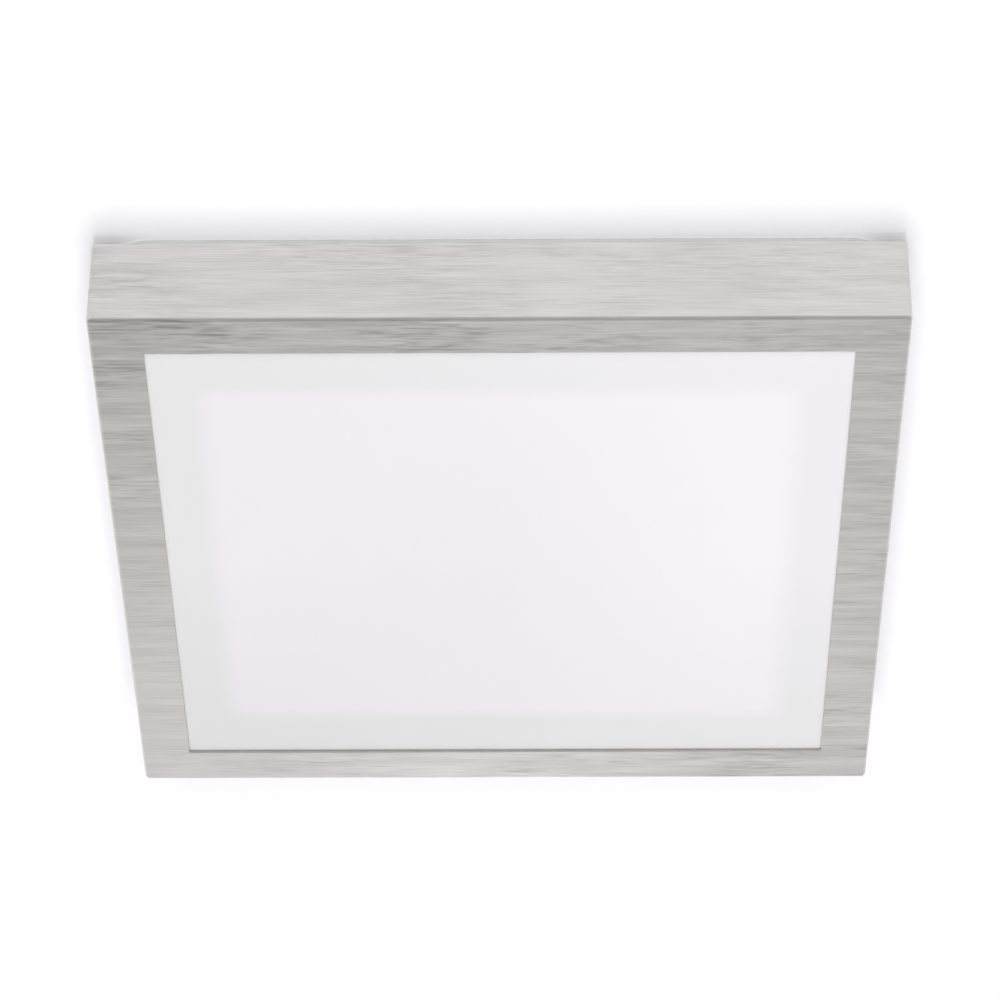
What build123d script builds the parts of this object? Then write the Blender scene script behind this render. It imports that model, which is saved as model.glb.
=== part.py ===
from build123d import *
import math
import os

# Square flush ceiling light: a brushed metal frame with an opal sheet pulls down off a pressed
# pan, which carries the lamps, their white light box, the driver and the supply terminal.
# Millimetres. The origin is the middle of the ceiling face, +Z points up into the ceiling,
# -Y is the side that faces the room's viewer, and the light hangs below z = 0.

os.makedirs("parts", exist_ok=True)

# ---------------------------------------------------------------- sizes that can be set

# Whole light
fixture_width = 300.0
fixture_depth = 300.0
shadow_gap = 3.5            # ceiling to the frame's top edge
frame_height = 36.5         # frame's top edge to its front face

# Front frame, folded sheet with welded and ground corners
frame_sheet = 1.0
frame_bar = 19.5            # width of the face round the window
frame_corner_radius = 2.0
frame_fold_radius = 1.4
window_corner_radius = 1.0

# Opal sheet and the foam under its edge
diffuser_thickness = 2.0
diffuser_lap = 3.5          # how far the sheet reaches under each bar
diffuser_edge_break = 0.3
gasket_thickness = 0.5
gasket_setback = 1.0        # from the window's edge

# Turn clips that hold the sheet, on welded studs
turn_clip_sheet = 1.0
turn_clip_width = 9.0
turn_clip_lap = 3.0         # how far a clip reaches over the sheet's edge
turn_clip_lift = 0.3        # clip above the sheet
turn_clip_ear = 1.8         # height of the finger ear
stud_to_wall = 7.5
stud_radius = 1.5
stud_shoulder_radius = 3.0
stud_end_stand = 0.8        # thread left above the nut
clip_nut_flats = 5.5
clip_nut_height = 2.4
face_play = 0.1             # between a turning clip and what it turns on
running_clearance = 0.05    # round a stud or pin

# Ceiling pan, drawn from one sheet
pan_sheet = 0.8
pan_side_gap = 0.5          # pan's flange to the frame's inner wall
pan_flange_height = 18.0
pan_corner_radius = 20.0
pan_fold_radius = 1.2
plateau_height = 2.4
plateau_side_margin = 10.5
plateau_end_margin = 56.5
plateau_corner_radius = 12.0
boss_height = 2.4           # raised fields outside the plateau
bead_width = 9.0
bead_height = 1.0
bead_corner_radius = 4.0
bead_end_margin = 48.0      # bead's end to the plateau's edge
tip_relief = 0.6            # screw tips stay this far below the ceiling

# Slots for the ceiling screws
mount_slot_length = 12.0
mount_slot_width = 5.0
mount_side_inset = 9.5      # slot's middle to the pan's outside
mount_end_inset = 38.5

# Spring clips that hold the frame on
spring_sheet = 0.4
spring_width = 12.0
spring_spread = 60.0        # each side of the middle
spring_bearing_gap = 0.1
spring_top = 3.4            # below the ceiling
spring_window_top = 6.6
spring_window_bottom = 14.6
spring_window_side = 1.0
spring_tail = 1.0           # leaf's end, kept this far inside and below its window

# Light box, a white tray with its mouth just above the opal sheet
box_border_x = 19.5         # window's edge to the box's mouth
box_border_y = 25.5
box_sheet = 0.8
box_draft = 4.0             # degrees
box_mouth_radius = 6.0
rim_gap = 0.9               # above the opal sheet
rim_inset = 1.5             # rim's edge inside the window's edge
box_foot_radius = 5.0       # where a pressed foot stands on the plateau
box_foot_inset = 9.0        # screw to the box's floor edge
box_screw_head_radius = 3.0
box_screw_head_height = 2.0
box_screw_radius = 1.5

# Lamp strips
strip_rows = 4
lamps_per_strip = 5
strip_width = 12.0
strip_thickness = 1.2
strip_corner_radius = 1.2
strip_end_gap = 3.0
strip_tail = 14.5           # strip past the box's floor, under the connector
box_to_strip = 0.2
chip_size = 3.5
chip_height = 0.7
chip_well_radius = 1.35     # glowing middle of a lamp chip
chip_well_depth = 0.25
lens_radius = 6.0
lens_height = 5.2
lens_wall = 1.0
lens_skirt = 1.6            # straight side below the dome
lens_crown = 2.0            # thickness in the middle
hole_margin = 0.6           # round a lens or a screw head
strip_screw_head_radius = 2.6
strip_screw_head_height = 1.5
strip_screw_radius = 1.25
connector_length = 10.0
connector_width = 10.0
connector_height = 4.6
connector_tail = 2.0        # strip's end to the connector
connector_edge_break = 0.5
port_depth = 3.0
port_pitch = 4.4

# Driver
driver_length = 150.0
driver_width = 34.0
driver_case_height = 19.0
driver_wall = 1.6
driver_lid_thickness = 1.8
driver_lip_height = 3.0
driver_fit = 0.15           # lid's lip to the case
driver_ear_length = 14.0
driver_ear_width = 14.0
driver_ear_thickness = 2.0
driver_screw_head_radius = 3.4
driver_screw_head_height = 2.4
driver_screw_radius = 1.7
driver_post_radius = 2.4
driver_post_height = 2.2
board_thickness = 1.6
board_play = 0.4
transformer_length = 22.0
transformer_width = 19.0
transformer_height = 11.0
transformer_x = -12.0       # off the driver's middle, as are the capacitors
winding_length = 13.2
winding_stand = 2.0         # winding past the core
winding_height = 7.7
capacitor_radius = 4.0
capacitor_height = 11.0
capacitor_edge_radius = 0.6
capacitor_spots = [(32.0, -6.0), (22.0, 5.0), (-40.0, -4.0)]
choke_radius = 6.5
choke_bore = 3.0
choke_height = 6.0
choke_edge_radius = 1.2
choke_inset = 25.0          # choke's middle to the board's end
socket_length = 8.0
socket_width = 9.0
socket_height = 6.0

# Supply terminal with release buttons
terminal_x = -18.0
terminal_length = 24.0
terminal_width = 25.0
terminal_height = 15.0
terminal_edge_break = 0.6
terminal_field_side = 4.4   # pressed field past the terminal, at its conductor ends
terminal_field_end = 1.2
pole_pitch = 7.0
entry_drop = 6.5            # conductor holes below the terminal's seat
entry_radius = 1.5
chamber_length = 8.0
chamber_width = 5.2
chamber_step = 1.8          # wall left below the chamber
button_guide = 0.3          # clearance round a button
button_rim = 0.5            # a button's flange past its stem
button_flange = 1.1
button_travel = 1.5
button_proud = 1.0          # button still out of the terminal when pressed home
button_edge_break = 0.4
button_leaf_gap = 0.4       # pressed button to the contact's leaf
contact_sheet = 0.6
latch_length = 3.0
latch_width = 5.0
latch_spread = 8.5
latch_barb = 0.4
latch_play = 0.2            # round a latch in its slot

# Cable entry
entry_x = -75.0
cable_radius = 5.0
grommet_groove_radius = 8.0
grommet_flange_radius = 10.0
grommet_collar = 3.6        # below the pan
grommet_back_flange = 1.4
grommet_front_flange = 1.0
grommet_wall = 2.4          # at the collar's end
grommet_edge_break = 0.6

# Earth stud and its terminal
earth_x = 45.0
earth_stud_radius = 2.0
earth_stud_length = 9.5
earth_pad_radius = 4.2
earth_pad_height = 0.8
earth_nut_flats = 7.0
earth_nut_height = 3.2
washer_thickness = 0.8
lug_sheet = 0.8
lug_radius = 4.2
lug_reach = 6.8             # stud to the start of the crimp
lug_barrel_length = 6.0
lug_barrel_radius = 1.9
lug_neck = 1.0              # flat that runs into the crimp

# Wires inside the light
mains_wire_radius = 1.1
lamp_wire_radius = 0.8
wire_pitch = 3.0
lamp_wire_pitch = 3.7
wire_rise = 1.0             # wires above the sheet, on their saddles
outlet_offset = 8.5         # driver's wire holes, off the driver's middle
saddle_length = 7.0
saddle_wall = 1.2
saddle_play = 0.2           # each side of the wires, and half of it above and below
mains_lane_gap = 10.0       # light box's floor edge to the first mains wire
near_lane_gap = 8.0         # pan's flange to the outer mains wire
lamp_lane_gap = 6.8         # strip connectors to the first lamp wire
drop_start = 0.56           # a wire drops to the driver here, as shares of the room beside it
drop_end = 0.30
lane_turn = 0.27            # bends there, as a share of the same room

# ---------------------------------------------------------------- levels and outlines

frame_top_z = -shadow_gap
frame_face_z = frame_top_z - frame_height
face_inside_z = frame_face_z + frame_sheet
inner_width = fixture_width - 2 * frame_sheet
inner_depth = fixture_depth - 2 * frame_sheet
window_width = fixture_width - 2 * frame_bar
window_depth = fixture_depth - 2 * frame_bar

diffuser_low_z = face_inside_z + gasket_thickness
diffuser_top_z = diffuser_low_z + diffuser_thickness
diffuser_width = window_width + 2 * diffuser_lap
diffuser_depth = window_depth + 2 * diffuser_lap

pan_width = inner_width - 2 * pan_side_gap
pan_depth = inner_depth - 2 * pan_side_gap
pan_inner_width = pan_width - 2 * pan_sheet
pan_inner_depth = pan_depth - 2 * pan_sheet
pan_floor_z = -pan_sheet
plateau_width = pan_width - 2 * plateau_side_margin
plateau_depth = pan_depth - 2 * plateau_end_margin
plateau_z = pan_floor_z - plateau_height
plateau_back_z = -plateau_height
boss_z = pan_floor_z - boss_height

strip_low_z = plateau_z - strip_thickness
box_seat_z = strip_low_z - box_to_strip
box_floor_z = box_seat_z - box_sheet
box_rim_low_z = diffuser_top_z + rim_gap
box_depth = box_seat_z - box_rim_low_z
mouth_width = window_width - 2 * box_border_x
mouth_depth = window_depth - 2 * box_border_y
box_lean = (box_floor_z - box_rim_low_z) * math.tan(math.radians(box_draft))
floor_width = mouth_width - 2 * box_lean
floor_depth = mouth_depth - 2 * box_lean
rim_width = window_width - 2 * rim_inset
rim_depth = window_depth - 2 * rim_inset

row_pitch = floor_depth / strip_rows
lamp_pitch = floor_width / lamps_per_strip
row_y = [row_pitch * (row - (strip_rows - 1) / 2) for row in range(strip_rows)]
lamp_x = [lamp_pitch * (lamp - (lamps_per_strip - 1) / 2) for lamp in range(lamps_per_strip)]
strip_right = floor_width / 2 - strip_end_gap
strip_left = -floor_width / 2 - strip_tail
strip_screw_x = [lamp_x[0] + lamp_pitch / 2, lamp_x[-1] - lamp_pitch / 2]
foot_x = floor_width / 2 - box_foot_inset
foot_spots = [(side * foot_x, end * row_pitch) for side in (-1, 1) for end in (-1, 1)]
foot_height = plateau_z - box_seat_z
foot_floor_z = plateau_z - box_sheet

# The wiring channel between the light box and the pan's flange, all the way round
channel_y = (mouth_depth / 2 + box_sheet + pan_inner_depth / 2) / 2
driver_y = channel_y
terminal_y = -channel_y


# ---------------------------------------------------------------- shared shapes

def save(builder, name):
    """Name a finished piece and write it to its own file."""
    builder.part.label = name
    export_step(builder.part, f"parts/{name}.step")


def pan_head_screw(head_radius, head_height, shank_radius, shank_length):
    """Make a cross-slot screw driven upward: its head hangs below the origin."""
    with BuildPart() as screw:
        with BuildSketch(Plane.XY.offset(-head_height)):
            Circle(head_radius)
        extrude(amount=head_height)
        fillet(screw.edges().group_by(Axis.Z)[0], head_height / 2)
        with BuildSketch(Plane.XY.offset(-head_height)):
            Rectangle(head_radius, head_radius / 5)
            Rectangle(head_radius / 5, head_radius)
        extrude(amount=head_height / 2, mode=Mode.SUBTRACT)
        with BuildSketch():
            Circle(shank_radius)
        extrude(amount=shank_length)
    return screw.part


def hex_nut(flats, height, bore):
    """Make a nut with its lower face at the origin."""
    with BuildPart() as nut:
        with BuildSketch():
            RegularPolygon(radius=flats / 2, side_count=6, major_radius=False)
            Circle(bore, mode=Mode.SUBTRACT)
        extrude(amount=height)
    return nut.part


def place(shape, spots):
    """Put copies of a shape at the given points of the part being built."""
    with Locations(*spots):
        add(shape)


def wire(name, radius, bends, points):
    """Sweep one round wire along straight runs joined by tangent arcs."""
    with BuildPart() as run:
        with BuildLine() as route:
            FilletPolyline(*points, radius=bends)
        with BuildSketch(Plane(origin=route.line @ 0, z_dir=route.line % 0)):
            Circle(radius)
        sweep()
    print(f"{name}: length {sum(edge.length for edge in route.edges()):.1f}, bends {bends}")
    return run.part


# ---------------------------------------------------------------- cover: frame and opal sheet

frame_inside_radius = max(frame_corner_radius - frame_sheet, frame_sheet / 4)
frame_inside_fold = max(frame_fold_radius - frame_sheet, frame_sheet / 4)

with BuildPart() as front_frame:
    with BuildSketch(Plane.XY.offset(frame_face_z)):
        RectangleRounded(fixture_width, fixture_depth, frame_corner_radius)
    extrude(amount=frame_height)
    fillet(front_frame.faces().sort_by(Axis.Z)[0].edges(), frame_fold_radius)
    with BuildSketch(Plane.XY.offset(face_inside_z)):
        RectangleRounded(inner_width, inner_depth, frame_inside_radius)
    extrude(amount=frame_height, mode=Mode.SUBTRACT)
    face_inside = front_frame.faces().filter_by(Axis.Z).sort_by(Axis.Z)[1]
    fillet(face_inside.edges(), frame_inside_fold)
    with BuildSketch(Plane.XY.offset(frame_face_z)):
        RectangleRounded(window_width, window_depth, window_corner_radius)
    extrude(amount=frame_sheet, mode=Mode.SUBTRACT)
save(front_frame, "front_frame")

with BuildPart() as diffuser:
    with BuildSketch(Plane.XY.offset(diffuser_low_z)):
        Rectangle(diffuser_width, diffuser_depth)
    extrude(amount=diffuser_thickness)
    chamfer(diffuser.edges().filter_by(Axis.Z, reverse=True), diffuser_edge_break)
save(diffuser, "diffuser")

with BuildPart() as diffuser_gasket:
    with BuildSketch(Plane.XY.offset(face_inside_z)):
        Rectangle(diffuser_width, diffuser_depth)
        Rectangle(window_width + 2 * gasket_setback, window_depth + 2 * gasket_setback, mode=Mode.SUBTRACT)
    extrude(amount=gasket_thickness)
save(diffuser_gasket, "diffuser_gasket")

# One stud in the middle of each bar, each plane's x axis pointing at the middle of the window
turn_clip_z = diffuser_top_z + turn_clip_lift
clip_nut_z = turn_clip_z + turn_clip_sheet + face_play
stud_sides = {
    "near": ((0, -(inner_depth / 2 - stud_to_wall)), (0, 1, 0)),
    "right": ((inner_width / 2 - stud_to_wall, 0), (-1, 0, 0)),
    "far": ((0, inner_depth / 2 - stud_to_wall), (0, -1, 0)),
    "left": ((-(inner_width / 2 - stud_to_wall), 0), (1, 0, 0)),
}
stud_spots = [spot for spot, _ in stud_sides.values()]
clip_reach = frame_bar - frame_sheet - diffuser_lap - stud_to_wall + turn_clip_lap

with BuildPart() as clip_studs:
    with BuildSketch(Plane.XY.offset(face_inside_z)):
        with Locations(*stud_spots):
            Circle(stud_shoulder_radius)
    extrude(amount=turn_clip_z - face_play - face_inside_z)
    with BuildSketch(Plane.XY.offset(turn_clip_z - face_play)):
        with Locations(*stud_spots):
            Circle(stud_radius)
    extrude(amount=clip_nut_z + clip_nut_height + stud_end_stand - turn_clip_z + face_play)
save(clip_studs, "clip_studs")

with BuildPart() as clip_nuts:
    nut_spots = [(x, y, clip_nut_z) for x, y in stud_spots]
    place(hex_nut(clip_nut_flats, clip_nut_height, stud_radius + running_clearance), nut_spots)
save(clip_nuts, "clip_nuts")

for side, ((stud_x, stud_y), inward) in stud_sides.items():
    clip_plane = Plane(origin=(stud_x, stud_y, turn_clip_z), x_dir=inward, z_dir=(0, 0, 1))
    clip_half = turn_clip_width / 2
    with BuildPart() as turn_clip:
        with BuildSketch(clip_plane):
            with Locations(((clip_reach - clip_half) / 2, 0)):
                SlotCenterToCenter(clip_reach - clip_half, turn_clip_width)
            Circle(stud_radius + running_clearance, mode=Mode.SUBTRACT)
        extrude(amount=turn_clip_sheet)
        with BuildSketch(clip_plane.offset(turn_clip_sheet)):
            with Locations(((clip_reach - clip_half) / 2, (turn_clip_sheet - turn_clip_width) / 2)):
                Rectangle(clip_reach - clip_half, turn_clip_sheet)
        extrude(amount=turn_clip_ear)
    save(turn_clip, f"turn_clip_{side}")

# ---------------------------------------------------------------- ceiling pan

edge_step = pan_sheet * (math.sqrt(2) - 1)      # keeps the sheet even on a 45 degree edge
field_slope = 45


def pressed_fields(back_z, outline, height, spots):
    """Make fields pressed inward by height: the pads, and the hollows behind them."""
    shapes = []
    for top_z, inset in ((back_z - pan_sheet, 0), (back_z, edge_step)):
        with BuildPart() as field:
            with BuildSketch(Plane.XY.offset(top_z)):
                with Locations(*spots):
                    outline(inset)
            extrude(amount=-height, taper=field_slope)
        shapes.append(field.part)
    return shapes


def rounded_field(width, depth, corner):
    """Outline of a rounded field, to be drawn in by an inset."""
    return lambda inset: RectangleRounded(width - 2 * inset, depth - 2 * inset, corner - inset)


def round_field(radius):
    """Outline of a round field, to be drawn in by an inset."""
    return lambda inset: Circle(radius - inset)


mount_x = pan_width / 2 - mount_side_inset
mount_y = pan_depth / 2 - mount_end_inset
mount_spots = [(side * mount_x, end * mount_y) for side in (-1, 1) for end in (-1, 1)]
driver_screw_x = driver_length / 2 + driver_ear_length / 2
driver_screw_spots = [(side * driver_screw_x, driver_y) for side in (-1, 1)]
field_radius = earth_pad_radius + boss_height * 2
ear_field_radius = driver_ear_length / 2 - running_clearance
entry_field_radius = grommet_flange_radius + 2 * boss_height
terminal_field_length = terminal_length + 2 * (boss_height + terminal_field_side)
terminal_field_width = terminal_width + 2 * (boss_height + terminal_field_end)
latch_spots = [(terminal_x + side * latch_spread, terminal_y) for side in (-1, 1)]
spring_spots = [(side, end * spring_spread) for side in (-1, 1) for end in (-1, 1)]
bead_length = plateau_width - 2 * bead_end_margin
bead_spots = [(0, (low + high) / 2) for low, high in zip(row_y, row_y[1:])]

plateau_outline = rounded_field(plateau_width, plateau_depth, plateau_corner_radius)
bead_outline = rounded_field(bead_length, bead_width, bead_corner_radius)
terminal_outline = rounded_field(terminal_field_length, terminal_field_width, 2 * boss_height)
pan_fields = [
    pressed_fields(0, plateau_outline, plateau_height, [(0, 0)]),
    pressed_fields(plateau_back_z, bead_outline, bead_height, bead_spots),
    pressed_fields(0, round_field(ear_field_radius), boss_height, driver_screw_spots),
    pressed_fields(0, round_field(field_radius), boss_height, [(earth_x, terminal_y)]),
    pressed_fields(0, round_field(entry_field_radius), boss_height, [(entry_x, terminal_y)]),
    pressed_fields(0, terminal_outline, boss_height, [(terminal_x, terminal_y)]),
]

with BuildPart() as ceiling_pan:
    with BuildSketch(Plane.XY.offset(-pan_flange_height)):
        RectangleRounded(pan_width, pan_depth, pan_corner_radius)
    extrude(amount=pan_flange_height)
    fillet(ceiling_pan.faces().sort_by(Axis.Z)[-1].edges(), pan_fold_radius)
    with BuildSketch(Plane.XY.offset(-pan_flange_height)):
        RectangleRounded(pan_inner_width, pan_inner_depth, pan_corner_radius - pan_sheet)
    extrude(amount=pan_flange_height - pan_sheet, mode=Mode.SUBTRACT)
    pan_floor = ceiling_pan.faces().filter_by(Axis.Z).sort_by(Axis.Z)[-2]
    fillet(pan_floor.edges(), max(pan_fold_radius - pan_sheet, pan_sheet / 4))

    for pads, hollows in pan_fields:
        add(pads)
        add(hollows, mode=Mode.SUBTRACT)

    with BuildSketch():
        with Locations(*mount_spots):
            SlotOverall(mount_slot_length, mount_slot_width)
        with Locations(*driver_screw_spots):
            Circle(driver_screw_radius + running_clearance)
        with Locations(*foot_spots):
            Circle(box_screw_radius + running_clearance)
        with Locations(*[(x, y) for x in strip_screw_x for y in row_y]):
            Circle(strip_screw_radius + running_clearance)
        with Locations((entry_x, terminal_y)):
            Circle(grommet_groove_radius + running_clearance)
        with Locations(*latch_spots):
            Rectangle(latch_length + 2 * latch_play, latch_width + 2 * latch_play)
    extrude(amount=-pan_flange_height, mode=Mode.SUBTRACT)

    window_height = spring_window_bottom - spring_window_top
    for side, clip_y in spring_spots:
        with Locations((side * pan_width / 2, clip_y, -spring_window_top - window_height / 2)):
            Box(4 * pan_sheet, spring_width + 2 * spring_window_side, window_height, mode=Mode.SUBTRACT)
save(ceiling_pan, "ceiling_pan")

# A leaf on the flange's inside bows out through its window and bears on the frame's wall
spring_bow = pan_sheet + pan_side_gap - spring_bearing_gap - spring_sheet / 2
for number, (side, clip_y) in enumerate(spring_spots, start=1):
    leaf_plane = Plane(
        origin=(side * pan_inner_width / 2, clip_y + side * spring_width / 2, 0),
        x_dir=(side, 0, 0),
        z_dir=(0, -side, 0),
    )
    with BuildPart() as spring_clip:
        with BuildSketch(leaf_plane):
            with BuildLine():
                FilletPolyline(
                    (-spring_sheet / 2, -spring_top),
                    (-spring_sheet / 2, -spring_window_top - spring_sheet),
                    (spring_bow, -(spring_window_top + spring_window_bottom) / 2),
                    (-spring_tail - spring_sheet, -spring_window_bottom + spring_tail),
                    (-spring_tail - spring_sheet, -spring_window_bottom - spring_tail),
                    radius=spring_sheet * 2,
                )
            trace(line_width=spring_sheet)
        extrude(amount=spring_width)
    save(spring_clip, f"spring_clip_{number}")

# ---------------------------------------------------------------- cable entry grommet

grommet_back_z = grommet_back_flange - boss_height
with BuildPart() as cable_grommet:
    with BuildSketch(Plane.XZ):
        with BuildLine():
            Polyline(
                (cable_radius, grommet_back_z),
                (grommet_flange_radius - grommet_edge_break, grommet_back_z),
                (grommet_flange_radius, grommet_back_z - grommet_edge_break),
                (grommet_flange_radius, -boss_height),
                (grommet_groove_radius, -boss_height),
                (grommet_groove_radius, boss_z),
                (grommet_flange_radius, boss_z),
                (grommet_flange_radius, boss_z - grommet_front_flange),
                (cable_radius + grommet_wall, boss_z - grommet_collar),
                (cable_radius, boss_z - grommet_collar),
                close=True,
            )
        make_face()
    revolve(axis=Axis.Z)
cable_grommet.part.locate(Location((entry_x, terminal_y, 0)))
save(cable_grommet, "cable_grommet")

# ---------------------------------------------------------------- light box

outer_mouth_width = mouth_width + 2 * box_sheet
outer_mouth_depth = mouth_depth + 2 * box_sheet
foot_step = box_sheet * (math.sqrt(2) - 1)
foot_base = box_foot_radius + foot_height

with BuildPart() as light_box:
    with BuildSketch(Plane.XY.offset(box_rim_low_z)):
        RectangleRounded(outer_mouth_width, outer_mouth_depth, box_mouth_radius + box_sheet)
    extrude(amount=box_depth, taper=box_draft)
    with BuildSketch(Plane.XY.offset(box_rim_low_z)):
        RectangleRounded(mouth_width, mouth_depth, box_mouth_radius)
    extrude(amount=box_depth - box_sheet, taper=box_draft, mode=Mode.SUBTRACT)
    with BuildSketch(Plane.XY.offset(box_rim_low_z)):
        RectangleRounded(rim_width, rim_depth, box_mouth_radius)
        RectangleRounded(mouth_width, mouth_depth, box_mouth_radius, mode=Mode.SUBTRACT)
    extrude(amount=box_sheet)
    with BuildSketch(Plane.XY.offset(box_seat_z)):
        with Locations(*[(x, y) for x in lamp_x for y in row_y]):
            Circle(lens_radius + hole_margin)
        with Locations(*[(x, y) for x in strip_screw_x for y in row_y]):
            Circle(strip_screw_head_radius + hole_margin)
    extrude(amount=-box_sheet, mode=Mode.SUBTRACT)
    # Feet pressed in the floor: each stands on the plateau and takes a screw's head from below
    for base_z, radius, mode in (
        (box_seat_z, foot_base, Mode.ADD),
        (box_floor_z, foot_base - foot_step, Mode.SUBTRACT),
    ):
        with BuildSketch(Plane.XY.offset(base_z)):
            with Locations(*foot_spots):
                Circle(radius)
        extrude(amount=foot_height, taper=field_slope, mode=mode)
    with BuildSketch(Plane.XY.offset(plateau_z)):
        with Locations(*foot_spots):
            Circle(box_screw_radius + running_clearance)
    extrude(amount=-box_sheet, mode=Mode.SUBTRACT)
save(light_box, "light_box")

with BuildPart() as light_box_screws:
    box_screw_length = -foot_floor_z - tip_relief
    place(
        pan_head_screw(box_screw_head_radius, box_screw_head_height, box_screw_radius, box_screw_length),
        [(x, y, foot_floor_z) for x, y in foot_spots],
    )
save(light_box_screws, "light_box_screws")

# ---------------------------------------------------------------- lamp strips

with BuildPart() as lens_shape:
    with BuildSketch(Plane.XZ):
        with BuildLine():
            Line((0, 0), (lens_radius, 0))
            Line((lens_radius, 0), (lens_radius, -lens_skirt))
            TangentArc((0, -lens_height), (lens_radius, -lens_skirt), tangent=(1, 0))
            Line((0, -lens_height), (0, 0))
        make_face()
        with BuildLine():
            Polyline(
                (0, 0),
                (lens_radius - lens_wall, 0),
                (lens_radius - lens_wall, -lens_skirt),
                (0, lens_crown - lens_height),
                close=True,
            )
        make_face(mode=Mode.SUBTRACT)
    revolve(axis=Axis.Z)

with BuildPart() as chip_shape:
    with BuildSketch(Plane.XY.offset(-chip_height)):
        Rectangle(chip_size, chip_size)
    extrude(amount=chip_height)
    with BuildSketch(Plane.XY.offset(-chip_height)):
        Circle(chip_well_radius)
    extrude(amount=chip_well_depth, mode=Mode.SUBTRACT)

for number, y in enumerate(row_y, start=1):
    with BuildPart() as led_strip:
        with BuildSketch(Plane.XY.offset(strip_low_z)):
            with Locations(((strip_left + strip_right) / 2, y)):
                RectangleRounded(strip_right - strip_left, strip_width, strip_corner_radius)
            with Locations(*[(x, y) for x in strip_screw_x]):
                Circle(strip_screw_radius + running_clearance, mode=Mode.SUBTRACT)
        extrude(amount=strip_thickness)
    save(led_strip, f"led_strip_{number}")

    lamp_spots = [(x, y, strip_low_z) for x in lamp_x]
    with BuildPart() as led_chips:
        place(chip_shape.part, lamp_spots)
    save(led_chips, f"led_chips_{number}")

    with BuildPart() as led_lenses:
        place(lens_shape.part, lamp_spots)
    save(led_lenses, f"led_lenses_{number}")

with BuildPart() as strip_screws:
    strip_screw_length = -strip_low_z - tip_relief
    place(
        pan_head_screw(
            strip_screw_head_radius,
            strip_screw_head_height,
            strip_screw_radius,
            strip_screw_length,
        ),
        [(x, y, strip_low_z) for x in strip_screw_x for y in row_y],
    )
save(strip_screws, "strip_screws")

connector_x = strip_left + connector_tail + connector_length / 2
connector_face = strip_left + connector_tail
port_z = strip_low_z - connector_height / 2
with BuildPart() as strip_connectors:
    with BuildSketch(Plane.XY.offset(strip_low_z)):
        with Locations(*[(connector_x, y) for y in row_y]):
            Rectangle(connector_length, connector_width)
    extrude(amount=-connector_height)
    chamfer(strip_connectors.edges().group_by(Axis.Z)[0], connector_edge_break)
    for port_y in [y + side * port_pitch / 2 for y in row_y for side in (-1, 1)]:
        with BuildSketch(Plane(origin=(connector_face, port_y, port_z), z_dir=(1, 0, 0))):
            Circle(lamp_wire_radius + running_clearance)
        extrude(amount=port_depth, mode=Mode.SUBTRACT)
save(strip_connectors, "strip_connectors")

# ---------------------------------------------------------------- driver

case_low_z = pan_floor_z - driver_case_height
inner_driver_length = driver_length - 2 * driver_wall
inner_driver_width = driver_width - 2 * driver_wall
case_roof_z = pan_floor_z - driver_wall
board_top_z = case_roof_z - driver_post_height
board_low_z = board_top_z - board_thickness
outlet_z = board_low_z - socket_height / 2
outlet_y = [driver_y + outlet_offset, driver_y + outlet_offset + wire_pitch]

with BuildPart() as driver_case:
    with BuildSketch(Plane.XY.offset(pan_floor_z)):
        with Locations((0, driver_y)):
            RectangleRounded(driver_length, driver_width, driver_wall)
    extrude(amount=-driver_case_height)
    with BuildSketch(Plane.XY.offset(case_roof_z)):
        with Locations((0, driver_y)):
            Rectangle(inner_driver_length, inner_driver_width)
    extrude(amount=-driver_case_height, mode=Mode.SUBTRACT)
    with BuildSketch(Plane.XY.offset(boss_z)):
        with Locations(*driver_screw_spots):
            Rectangle(driver_ear_length, driver_ear_width)
        with Locations(*driver_screw_spots):
            Circle(driver_screw_radius + running_clearance, mode=Mode.SUBTRACT)
    extrude(amount=-driver_ear_thickness)
    post_x = inner_driver_length / 2 - 2 * driver_post_radius
    post_y = inner_driver_width / 2 - 2 * driver_post_radius
    post_spots = [(i * post_x, driver_y + j * post_y) for i in (-1, 1) for j in (-1, 1)]
    with BuildSketch(Plane.XY.offset(case_roof_z)):
        with Locations(*post_spots):
            Circle(driver_post_radius)
    extrude(amount=-driver_post_height)
    for side, hole_radius in ((1, mains_wire_radius), (-1, lamp_wire_radius)):
        for y in outlet_y:
            with BuildSketch(Plane(origin=(side * driver_length / 2, y, outlet_z), z_dir=(-side, 0, 0))):
                Circle(hole_radius + running_clearance)
            extrude(amount=driver_wall, mode=Mode.SUBTRACT)
save(driver_case, "driver_case")

with BuildPart() as driver_lid:
    with BuildSketch(Plane.XY.offset(case_low_z)):
        with Locations((0, driver_y)):
            RectangleRounded(driver_length, driver_width, driver_wall)
    extrude(amount=-driver_lid_thickness)
    chamfer(driver_lid.edges().group_by(Axis.Z)[0], driver_lid_thickness / 3)
    with BuildSketch(Plane.XY.offset(case_low_z)):
        with Locations((0, driver_y)):
            Rectangle(inner_driver_length - 2 * driver_fit, inner_driver_width - 2 * driver_fit)
            Rectangle(
                inner_driver_length - 2 * driver_fit - 2 * driver_wall,
                inner_driver_width - 2 * driver_fit - 2 * driver_wall,
                mode=Mode.SUBTRACT,
            )
    extrude(amount=driver_lip_height)
save(driver_lid, "driver_lid")

with BuildPart() as driver_screws:
    place(
        pan_head_screw(
            driver_screw_head_radius,
            driver_screw_head_height,
            driver_screw_radius,
            -boss_z + driver_ear_thickness - tip_relief,
        ),
        [(x, y, boss_z - driver_ear_thickness) for x, y in driver_screw_spots],
    )
save(driver_screws, "driver_screws")

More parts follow.
